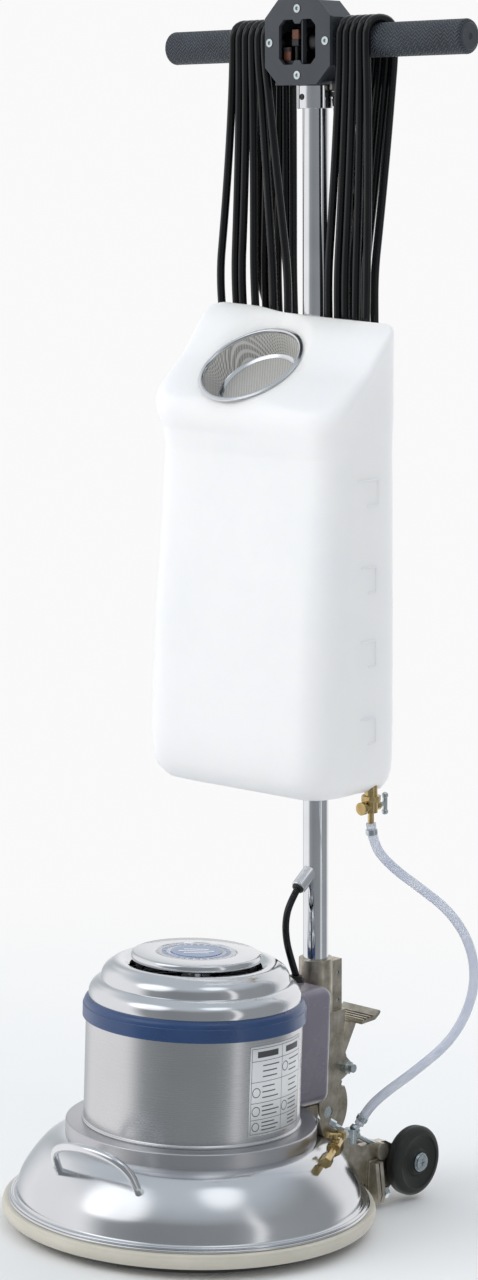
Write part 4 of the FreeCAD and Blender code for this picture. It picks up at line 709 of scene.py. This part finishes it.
def badge_ring_look():
    """Pressed foil ring with fine radial lines between two plain borders."""
    n = Look("badge_ring_look")
    n.set(Metallic=1.0)
    around = n.split(n.add("ShaderNodeTexCoord").outputs["UV"])["X"]
    rays = n.math("SINE", n.math("MULTIPLY", around, 2 * math.pi / 0.0022))
    broad = n.noise(n.coords(), 40.0, 3)
    n.plug(Base_Color=n.ramp(n.math("MULTIPLY_ADD", rays, 0.25, 0.5),
                             [(0.2, (0.40, 0.43, 0.47)), (0.8, (0.72, 0.74, 0.77))]))
    n.plug(Roughness=n.span(broad, 0.2, 0.32))
    n.plug(Normal=n.bump(rays, 0.00008, 0.5))
    return n.material


lathe("badge_ring", run((24.2, 263.4), (38.0, 263.4), (38.0, 264.1), (36.0, 264.4), (25.5, 264.4), (24.6, 263.9)),
      WORLD, "base", badge_ring_look(), ("badge_plate",), segments=192)
lathe("badge_centre", run((0.0, 263.4), (24.4, 263.4), (24.4, 264.1), (23.8, 264.6), (0.0, 264.78)),
      WORLD, "base", BADGE_BLUE, segments=192)


def badge_pattern():
    """Plain raised dashes round the badge's rim and three bars in its middle."""
    bm = bmesh.new()

    def dash(points, z):
        low = [bm.verts.new((x, y, z - 0.25)) for x, y in points]
        high = [bm.verts.new((x, y, z + 0.12)) for x, y in points]
        bm.faces.new(high)
        bridge(bm, low, high)

    count, inner, outer = 30, 28.6, 33.2
    for k in range(count):
        a0 = 2 * math.pi * k / count
        a1 = a0 + 0.13
        corners = ((inner, a0), (outer, a0), (outer, a1), (inner, a1))
        dash([(r * math.cos(a), r * math.sin(a)) for r, a in corners], 264.4)
    turn = Matrix.Rotation(math.radians(43.0), 2)
    for half, y0, y1 in ((12.0, 6.0, 9.0), (17.0, -1.5, 1.5), (12.0, -9.0, -6.0)):
        dash([tuple(turn @ Vector(p)) for p in ((-half, y0), (half, y0), (half, y1), (-half, y1))], 264.72)
    mesh = mesh_of(bm, "badge_pattern", True)
    finish_mesh("badge_pattern", mesh, WORLD, "base", FOIL, angle=20.0)
    mesh.materials.append(BADGE_BLUE)
    for face in mesh.polygons:
        face.material_index = 1 if face.center.xy.length > 0.0255 else 0


badge_pattern()

# ---------------------------------------------------------------- rating plate

def plate_patch(bm, a0, a1, z0, z1, lift=0.0):
    """A strip on the curved plate between two angles (degrees about Z) and two heights."""
    r = PLATE_R + lift
    steps = max(1, int(abs(a1 - a0) / 1.5) + 1)
    low, high = [], []
    for k in range(steps + 1):
        t = math.radians(a0 + (a1 - a0) * k / steps)
        low.append(bm.verts.new((r * math.cos(t), r * math.sin(t), z0)))
        high.append(bm.verts.new((r * math.cos(t), r * math.sin(t), z1)))
    for k in range(steps):
        bm.faces.new((low[k], low[k + 1], high[k + 1], high[k]))


def add_mark(bm, degrees, height, radius, sides=20):
    """A plain round outline on the plate."""
    r = PLATE_R + 0.05
    for j in range(sides):
        b0, b1 = 2 * math.pi * j / sides, 2 * math.pi * (j + 1) / sides
        corners = []
        for rr, b in ((radius, b0), (radius, b1), (radius - 0.8, b1), (radius - 0.8, b0)):
            a = math.radians(degrees) + rr * math.cos(b) / r
            corners.append(bm.verts.new((r * math.cos(a), r * math.sin(a), height + rr * math.sin(b))))
        bm.faces.new(corners)


def add_rating_plate():
    """A foil plate in two columns: ruled rows, plain round marks and short dashes in place of print."""
    a0, a1, z0, z1 = -16.4, 26.4, 109.2, 194.8      # the plate's edges, in degrees and in height
    raised = 0.05
    sheet = bmesh.new()
    uv = sheet.loops.layers.uv.new("unrolled")
    plate_patch(sheet, a0, a1, z0, z1)
    for face in sheet.faces:
        for item in face.loops:
            p = item.vert.co
            item[uv].uv = (math.atan2(p.y, p.x) * PLATE_R * 0.001, p.z * 0.001)
    plate = finish_mesh("rating_plate_foil", mesh_of(sheet, "plate"), WORLD, "base", FOIL,
                        ("rating_plate",))
    thick = plate.modifiers.new("thickness", "SOLIDIFY")
    thick.thickness, thick.offset = 0.0005, -1.0
    ink = bmesh.new()
    rule = 0.5
    middle = a0 + (a1 - a0) * 0.52
    rows = [z1 - 2.0, z1 - 14.0, z1 - 34.0, z1 - 54.0, z1 - 70.0, z0 + 2.0]
    for z in rows:
        plate_patch(ink, a0 + 1.0, a1 - 1.0, z - rule / 2, z + rule / 2, raised)
    for a in (a0 + 1.0, middle, a1 - 1.0):
        plate_patch(ink, a - 0.13, a + 0.13, z0 + 2.0, z1 - 2.0, raised)
    for col, (left, right) in enumerate(((a0 + 1.0, middle), (middle, a1 - 1.0))):
        width = right - left
        plate_patch(ink, left + 0.16 * width, right - 0.16 * width, rows[1] + 3.2, rows[1] + 9.0, raised)
        for k in range(1, 5):
            top, low = rows[k], rows[k + 1]
            if k % 2 == col % 2 or k == 3:
                add_mark(ink, left + 0.15 * width, (top + low) / 2, min(4.8, (top - low) * 0.32))
            for j in range(3):
                z = top - (top - low) * (j + 0.9) / 3.8
                end = right - width * random.uniform(0.06, 0.3)
                plate_patch(ink, left + 0.33 * width, end, z - 0.55, z + 0.55, raised)
    mesh = mesh_of(ink, "ink", True)
    finish_mesh("rating_plate_rules", mesh, WORLD, "base", PRINT_INK)


add_rating_plate()

# ---------------------------------------------------------------- carrying handle


def add_carry_handle():
    """A chrome rod bent into a loop, each leg running into the dome."""
    turn = Matrix.Rotation(math.radians(6.0), 4, "Z")
    half = [(47.0, -134.0, 60.0), (47.0, -138.6, 68.0), (47.2, -144.5, 78.0), (45.2, -151.0, 89.0),
            (37.0, -156.2, 98.0), (22.0, -159.0, 103.2)]
    keys = half + [(0.0, -160.4, 105.6)] + [(-x, y, z) for x, y, z in reversed(half)]
    line = centreline([tuple(turn @ Vector(p)) for p in keys])
    finish_mesh("carry_handle_rod", tube_mesh("rod", line, 0.004), Matrix.Identity(4), "base", CHROME,
                ("carry_handle",), 60.0)


add_carry_handle()

# ---------------------------------------------------------------- wheels

TYRE = run((13.0, -7.0), (28.5, -9.0), ((33.5, -6.0), (34.5, 0.0)), ((33.5, 6.0), (28.5, 8.4)),
           ((27.2, 8.6), (26.4, 7.4)), ((21.0, 5.9), (15.5, 5.6)), (13.0, 8.0))
HUB = run((6.05, -9.0), (12.6, -9.0), (13.0, -7.0), (13.0, 8.0), (12.0, 9.0), (6.05, 9.0))
for side, name in ((1, "right"), (-1, "left")):
    place = WORLD @ Matrix.Translation((side * WHEEL_X, WHEEL_Y, WHEEL_Z)) @ Matrix.Rotation(side * math.pi / 2, 4, "Y")
    lathe("tyre_" + name, TYRE, place, "wheel_" + name[0], RUBBER, ("wheel_" + name,), segments=128)
    lathe("hub_" + name, HUB, place, "wheel_" + name[0], BLACK, segments=96)

# ---------------------------------------------------------------- grips

GRIP_LINE = run((BAR_R, 43.0), (14.5, 43.0), ((15.6, 43.5), (GRIP_R, 45.0)), (GRIP_R, 118.0), (GRIP_R, BAR_HALF - 4.4),
                ((15.0, BAR_HALF - 1.0), (12.5, BAR_HALF)), (BAR_R, BAR_HALF))
GRIP_END = run((12.9, BAR_HALF - 4.5), (12.9, BAR_HALF - 0.3), ((12.2, BAR_HALF + 0.6), (10.8, BAR_HALF + 0.9)),
               (3.2, BAR_HALF + 0.9), (2.4, BAR_HALF - 0.4), (0.0, BAR_HALF - 0.4), (0.0, BAR_HALF - 4.5))
for side, name in ((1, "right"), (-1, "left")):
    place = HANDLE @ Matrix.Translation((0, 0, HEAD_Z)) @ Matrix.Rotation(side * math.pi / 2, 4, "Y")
    lathe("grip_" + name, GRIP_LINE, place, "twist", GRIP, ("grips",) if side > 0 else (), segments=128)
    lathe("grip_end_" + name, GRIP_END, place, "twist", HEAD, segments=96)

# ---------------------------------------------------------------- pole

lathe("pole_skin", run((11.1, POLE_Z0), (POLE_R, POLE_Z0), (POLE_R, POLE_Z1), (11.1, POLE_Z1)), HANDLE, "handle",
      CHROME, segments=128)
lathe("socket_skin", run(
    (12.75, 992.0), (16.7, 992.0), ((17.3, 992.2), (17.5, 992.9)), (17.5, 1013.1), ((17.3, 1013.8), (16.7, 1014.0)),
    (12.75, 1014.0)), HANDLE, "handle", CHROME, ("socket_collar",), segments=128)
OUTLET = HANDLE @ toward(OUTLET_MOUTH, OUTLET_AXIS)
lathe("cable_outlet", run(
    (3.7, 0.0), (6.4, 0.0), ((7.3, 0.3), (7.6, 1.3)), (7.6, 26.0), (0.0, 26.0), (0.0, 3.0), (3.7, 3.0)),
    OUTLET, "handle", CHROME, ("pole_tube",), segments=96)
lathe("outlet_bush", run((3.55, -2.4), (5.6, -2.0), (6.2, -0.6), (6.2, 0.8), (3.55, 0.8)), OUTLET, "handle", RUBBER,
      segments=64)
lathe("socket_screw_hole", run((0.0, 0.0), (2.9, 0.0), (2.9, 0.9), (2.3, 1.1), (2.0, 0.6), (0.0, 0.5)),
      HANDLE @ toward((-2.5, -17.0, 1003.0), (-0.15, -1.0, 0.0)), "handle", BLACK, segments=32)
lathe("gland_nut", run((8.55, 1009.0), (9.6, 1009.6), (9.6, 1018.2), (8.55, 1018.8)),
      HANDLE @ Matrix.Translation((26.0, 4.0, 0.0)), "handle", CASTING, segments=6)


def add_contact(name, size, centre, body):
    finish_mesh(name, boxes(name, [(size, centre, 0.5, 3)]), HANDLE, body, CONTACT, angle=50.0)


add_contact("contact_block", (8.4, 4.4, 9.0), (-9.0, -17.2, HEAD_Z + 7.6), "twist")
add_contact("contact_tongue", (8.6, 1.6, 12.6), (-18.5, -19.4, HEAD_Z - 10.6), "handle")

# ---------------------------------------------------------------- tank

# the tank's height, front, half width and front corner radius
SECTIONS = [(TANK_Z0, -104.0, 92.0, 22.0), (348.0, -116.0, 106.0, 28.0), (356.0, -124.0, 114.0, 32.0),
            (368.0, -129.0, 118.5, 36.0), (386.0, -131.0, 120.0, 36.0), (450.0, -127.0, 120.0, 36.0),
            (520.0, -122.0, 120.0, 36.0), (580.0, -115.5, 119.5, 35.0), (640.0, -110.0, 119.0, 34.0),
            (668.0, -108.0, 118.5, 34.0), (688.0, -111.0, 119.0, 34.0), (704.0, -118.0, 120.0, 34.0),
            (720.0, -123.0, 120.0, 34.0), (770.0, -123.0, 120.0, 34.0), (TANK_Z1, -123.0, 120.0, 34.0)]


def section_at(z):
    """The tank's front, half width and front corner radius at a height, smoothly between sections."""
    z = max(SECTIONS[0][0], min(SECTIONS[-1][0], z))
    for a, b in zip(SECTIONS, SECTIONS[1:]):
        if z <= b[0]:
            t = (z - a[0]) / (b[0] - a[0])
            return [p + (q - p) * t for p, q in zip(a[1:], b[1:])]
    return list(SECTIONS[-1][1:])


def outline(front, half, corner, count=168):
    """Evenly spaced points of a level outline: large front corners, small back corners."""
    back = 15.0
    points = []
    for sx, sy, r, a0 in ((1, 1, back, 0.0), (-1, 1, back, 90.0), (-1, -1, corner, 180.0), (1, -1, corner, 270.0)):
        cx = sx * (half - r)
        cy = (TANK_BACK - r) if sy > 0 else (front + r)
        for k in range(13):
            t = math.radians(a0 + 90.0 * k / 12)
            points.append(Vector((cx + r * math.cos(t), cy + r * math.sin(t))))
    points.append(points[0])
    lengths = [0.0]
    for a, b in zip(points, points[1:]):
        lengths.append(lengths[-1] + (b - a).length)
    out, j = [], 0
    for k in range(count):
        want = lengths[-1] * k / count
        while lengths[j + 1] < want:
            j += 1
        out.append(points[j].lerp(points[j + 1], (want - lengths[j]) / (lengths[j + 1] - lengths[j])))
    return out


def smooth_min(a, b, k):
    """The lesser of two numbers, blended over a width k."""
    h = max(k - abs(a - b), 0.0) / k
    return min(a, b) - h * h * k / 4.0


def top_of_tank(x, y):
    """Height of the tank's upper surface: the filler's slope, with a raised ledge behind it, highest on the left."""
    slope = FILLER.z - (FILLER_NORMAL.x * (x - FILLER.x) + FILLER_NORMAL.y * (y - FILLER.y)) / FILLER_NORMAL.z
    off_axis = (Vector((x, y, slope)) - FILLER).length
    rear = ease((y + 70.0) / 40.0)
    ledge = 11.0 * ease((off_axis - FILLER_R) / 9.0) * rear
    lobe = 3.5 * ease((FILLER.x - x) / 44.0) * rear
    return smooth_min(TANK_Z1, slope + ledge + lobe, 12.0)


def underside_rings():
    """The tank's base, drawn in towards its middle."""
    middle = 60.0
    front, half, corner = SECTIONS[0][1:]
    rings = []
    for inset in (40.0, 20.0, 6.0):
        across, along = 1 - inset / half, 1 - inset / middle
        rings.append([(p.x * across, (p.y + middle) * along - middle, TANK_Z0) for p in outline(front, half, corner)])
    return rings


def add_tank():
    """The blown shell, lofted upward through its sections and cut open at the filler."""
    rings = underside_rings()
    heights = [TANK_Z0, 345.2, 348.0, 352.0, 358.0, 366.0, 378.0, 392.0] + [410.0 + 14.0 * k for k in range(19)]
    rings += [[(p.x, p.y, z) for p in outline(*section_at(z))] for z in heights]
    last = heights[-1]
    # the walls end under the sloping top, then turn over a soft lip that is larger along the front
    steps, turns, shrinks = 14, 9, 22
    centre = Vector((0.0, FILLER.y))
    walls = [[] for _ in range(steps)]
    crown = [[] for _ in range(turns)]
    for k, p in enumerate(outline(*section_at(760.0))):
        lip = 5.0 + 4.0 * ease((-20.0 - p.y) / 25.0) + 9.0 * ease((-60.0 - p.y) / 55.0)
        stop = top_of_tank(p.x, p.y) - lip
        for j in range(steps):
            z = last + (stop - last) * (j + 1) / steps
            q = outline(*section_at(z))[k]
            walls[j].append((q.x, q.y, z))
        for j in range(turns):
            t = math.pi / 2 * (j + 1) / turns
            rise = math.sin(t)
            q = outline(*section_at(stop + lip * rise))[k]
            q = q + (centre - q).normalized() * lip * (1 - math.cos(t))
            crown[j].append((q.x, q.y, stop + (top_of_tank(q.x, q.y) - stop) * rise))
    rings += walls + crown
    rim = [Vector(p) for p in crown[-1]]
    for k in range(1, shrinks):
        t = k / shrinks
        inner = [Vector((p.x + (centre.x - p.x) * t, p.y + (centre.y - p.y) * t)) for p in rim]
        rings.append([(q.x, q.y, top_of_tank(q.x, q.y)) for q in inner])
    bm = bmesh.new()
    rings = [[bm.verts.new(p) for p in ring] for ring in rings]
    for a, b in zip(rings, rings[1:]):
        bridge(bm, a, b)
    bm.faces.new(list(reversed(rings[0])))
    bm.faces.new(rings[-1])
    for face in bm.faces:
        face.smooth = True
    tank = place_object("tank_skin", mesh_of(bm, "tank_skin", True))
    cutter = lathe("filler_cut", run((0.0, -25.0), (42.4, -25.0), (50.6, 0.0), (50.6, 34.0), (0.0, 34.0)),
                   toward(FILLER, FILLER_NORMAL), None, TANK, closed=False, segments=128)
    cut = tank.modifiers.new("filler", "BOOLEAN")
    cut.operation, cut.object, cut.solver = "DIFFERENCE", cutter, "EXACT"
    bpy.context.view_layer.update()
    applied = bpy.data.meshes.new_from_object(tank.evaluated_get(bpy.context.evaluated_depsgraph_get()))
    bpy.data.objects.remove(cutter)
    bpy.data.objects.remove(tank)
    applied.materials.clear()
    finish_mesh("tank_shell", applied, HANDLE, "handle", TANK, ("solution_tank",), 38.0)


add_tank()


def add_level_marks():
    """Moulded marks up the tank's right face: a long and a short step at each level, joined by an upright."""
    y, sink, drop, edge = -62.0, 0.45, 24.0, 0.75
    parts = []
    for z, reach in ((648.0, 30.0), (566.0, 22.0), (496.0, 22.0), (422.0, 22.0)):
        for dz, width, thick in ((0.0, reach, 2.2), (-drop, reach * 0.55, 2.0)):
            centre = (section_at(z + dz)[1] - sink, y + (reach - width) / 2, z + dz)
            parts.append(((1.6, width, thick), centre, edge, 4))
        middle = z - drop / 2
        parts.append(((1.6, 2.0, 25.0), (section_at(middle)[1] - sink, y + reach / 2, middle), edge, 4))
    finish_mesh("tank_level_marks", boxes("marks", parts), HANDLE, "handle", MARKS, angle=60.0)


add_level_marks()

# ---------------------------------------------------------------- strainer


def mesh_look():
    """Woven stainless mesh: wires over and under in two directions."""
    n = Look("strainer_mesh_look")
    n.set(Metallic=0.45)
    source = n.coords()
    place = n.split(source)
    wires = [n.math("SINE", n.math("MULTIPLY", n.math(way, place["X"], place["Y"]), 2 * math.pi / 0.0022))
             for way in ("ADD", "SUBTRACT")]
    weave = n.math("MAXIMUM", *wires)
    # light on the wires, dark between them: the dark is painted shade standing for the gaps in the weave
    n.plug(Base_Color=n.ramp(n.math("MULTIPLY_ADD", weave, 0.5, 0.5),
                             [(0.40, (0.34, 0.33, 0.31)), (0.80, (0.80, 0.79, 0.76))]))
    broad = n.noise(source, 50.0, 4)
    n.plug(Roughness=n.span(broad, 0.3, 0.45))
    n.plug(Normal=n.bump(weave, 0.0004, 0.6))
    return n.material


SEAT = HANDLE @ toward(FILLER, FILLER_NORMAL)
MESH = mesh_look()
lathe("strainer_ring", run((49.0, -0.8), (50.3, -0.8), (50.4, 0.4), (53.4, 0.4), ((54.3, 1.0), (53.8, 1.8)),
                           (52.0, 2.3), ((50.2, 2.3), (49.0, 0.6))), SEAT, "strainer_cup", SPUN,
      ("strainer",), segments=192)
lathe("strainer_wall", run((41.4, -23.0), (42.0, -23.0), (50.0, -0.6), (49.3, -0.6)), SEAT, "strainer_cup", MESH,
      segments=160)
lathe("strainer_floor_ring", run((37.4, -24.0), (42.0, -24.0), (42.6, -21.2), (41.2, -20.6), (39.9, -21.6),
                                 (37.4, -22.5)), SEAT, "strainer_cup", SPUN, segments=160)
lathe("strainer_mesh", run((0.0, -22.2), (13.0, -22.5), (26.0, -22.8), (37.8, -22.9), (37.8, -23.3), (0.0, -23.3)),
      SEAT, "strainer_cup", MESH, segments=128)

# ---------------------------------------------------------------- small fittings


def band_clip(name, end, inward, share, body):
    """A wire spring clip round the hose near one end, at a share of the way to its next route point."""
    r = 4.8
    profile = run((r, -2.6), (r + 0.9, -2.4), (r + 1.1, 0.0), (r + 0.9, 2.4), (r, 2.6))
    a, b = Vector(end), Vector(inward)
    lathe(name, profile, WORLD @ toward(a.lerp(b, share), b - a), body, ZINC, segments=64)


band_clip("hose_clip_top", HOSE_ROUTE[0], HOSE_ROUTE[1], 0.42, "handle")
band_clip("hose_clip_low", HOSE_ROUTE[-1], HOSE_ROUTE[-2], 0.4, "base")

# ---------------------------------------------------------------- stage and light


PALE = (0.95, 0.95, 0.95, 1.0)


def add_stage():
    """A floor that takes the shadow near the machine and melts into the plain background further out."""
    bm = bmesh.new()
    bmesh.ops.create_grid(bm, x_segments=2, y_segments=2, size=14.0)
    mesh = mesh_of(bm, "floor")
    floor = place_object("floor", mesh)
    n = Look("floor_look")
    n.mottle((0.90, 0.90, 0.90), (0.92, 0.92, 0.92), 3.0, 3)
    n.set(Roughness=0.7)
    spot = n.add("ShaderNodeVectorMath", operation="LENGTH")
    n.link(n.coords(), spot.inputs[0])
    glow = n.add("ShaderNodeEmission", Color=PALE)
    mix = n.add("ShaderNodeMixShader")
    n.link(n.span(spot.outputs["Value"], 0.0, 1.0, 0.35, 1.6, "SMOOTHSTEP"), mix.inputs["Fac"])
    n.link(n.shader.outputs["BSDF"], mix.inputs[1])
    n.link(glow.outputs["Emission"], mix.inputs[2])
    n.link(mix.outputs["Shader"], n.tree.nodes["Material Output"].inputs["Surface"])
    mesh.materials.append(n.material)
    floor.visible_glossy = False


def add_light(name, place, aim, size, power):
    data = bpy.data.lights.new(name, "AREA")
    data.shape, data.size, data.size_y = "RECTANGLE", size[0], size[1]
    data.energy = power
    light = place_object(name, data)
    light.visible_glossy = False
    light.location = place
    light.rotation_euler = (Vector(place) - Vector(aim)).to_track_quat("Z", "Y").to_euler()


def add_world():
    """A pale studio: bright all round, with soft darker cards at a few bearings for the chrome to pick up."""
    world = bpy.data.worlds.new("studio")
    n = Nodes(world)

    def blend(kind, factor, a, b):
        node = n.add("ShaderNodeMix", data_type="RGBA", blend_type=kind)
        for index, value in ((0, factor), (6, a), (7, b)):
            if isinstance(value, (float, tuple)):
                node.inputs[index].default_value = value
            else:
                n.link(value, node.inputs[index])
        return node.outputs[2]

    bearing = n.add("ShaderNodeTexCoord").outputs["Generated"]
    along = n.split(bearing)
    round_unit = n.span(n.math("ARCTAN2", along["Y"], along["X"]), 0.0, 1.0, -math.pi, math.pi)
    # share of a turn from due west, and how bright the studio is there
    cards = [(0.0, 1.0), (0.16, 1.0), (0.225, 0.34), (0.30, 0.28), (0.44, 0.30), (0.486, 0.36), (0.497, 1.0),
             (0.508, 1.0), (0.519, 0.36), (0.665, 0.34), (0.725, 0.95), (0.86, 1.0), (0.92, 0.6), (1.0, 1.0)]
    cool, neutral = (0.93, 0.985, 1.03), (1.0, 1.0, 1.01)
    stops = [(place, tuple(value * t for t in (cool if value < 0.9 else neutral))) for place, value in cards]
    sides = n.ramp(round_unit, stops, "EASE")
    light = blend("MIX", n.span(along["Z"], 0.0, 1.0, 0.45, 0.85, "SMOOTHSTEP"), sides, (0.57, 0.615, 0.66, 1.0))
    # two soft lamps, as azimuth, elevation and half width in degrees, and strength
    for azimuth, elevation, width, power in ((-107.0, 40.0, 25.0, 0.9), (-12.0, 60.0, 15.0, 0.7)):
        a, e = math.radians(azimuth), math.radians(elevation)
        dot = n.add("ShaderNodeVectorMath", operation="DOT_PRODUCT")
        dot.inputs[1].default_value = (math.cos(a) * math.cos(e), math.sin(a) * math.cos(e), math.sin(e))
        n.link(bearing, dot.inputs[0])
        edge, core = math.cos(math.radians(width)), math.cos(math.radians(width * 0.45))
        light = blend("ADD", 1.0, light, n.span(dot.outputs["Value"], 0.0, power, edge, core, "SMOOTHSTEP"))
    seen = n.add("ShaderNodeLightPath").outputs["Is Camera Ray"]
    n.link(blend("MIX", seen, light, PALE), n.tree.nodes["Background"].inputs["Color"])
    bpy.context.scene.world = world


add_stage()
add_world()
add_light("key", (-1.9, -2.4, 2.6), (0, 0, 0.5), (2.2, 2.2), 42.0)
add_light("fill", (2.6, -0.8, 1.4), (0, 0, 0.6), (1.6, 2.2), 7.0)
add_light("back", (0.2, 2.4, 2.4), (0, 0, 0.7), (1.8, 1.4), 20.0)
bpy.context.scene.view_settings.view_transform = "Standard"

bpy.context.view_layer.update()
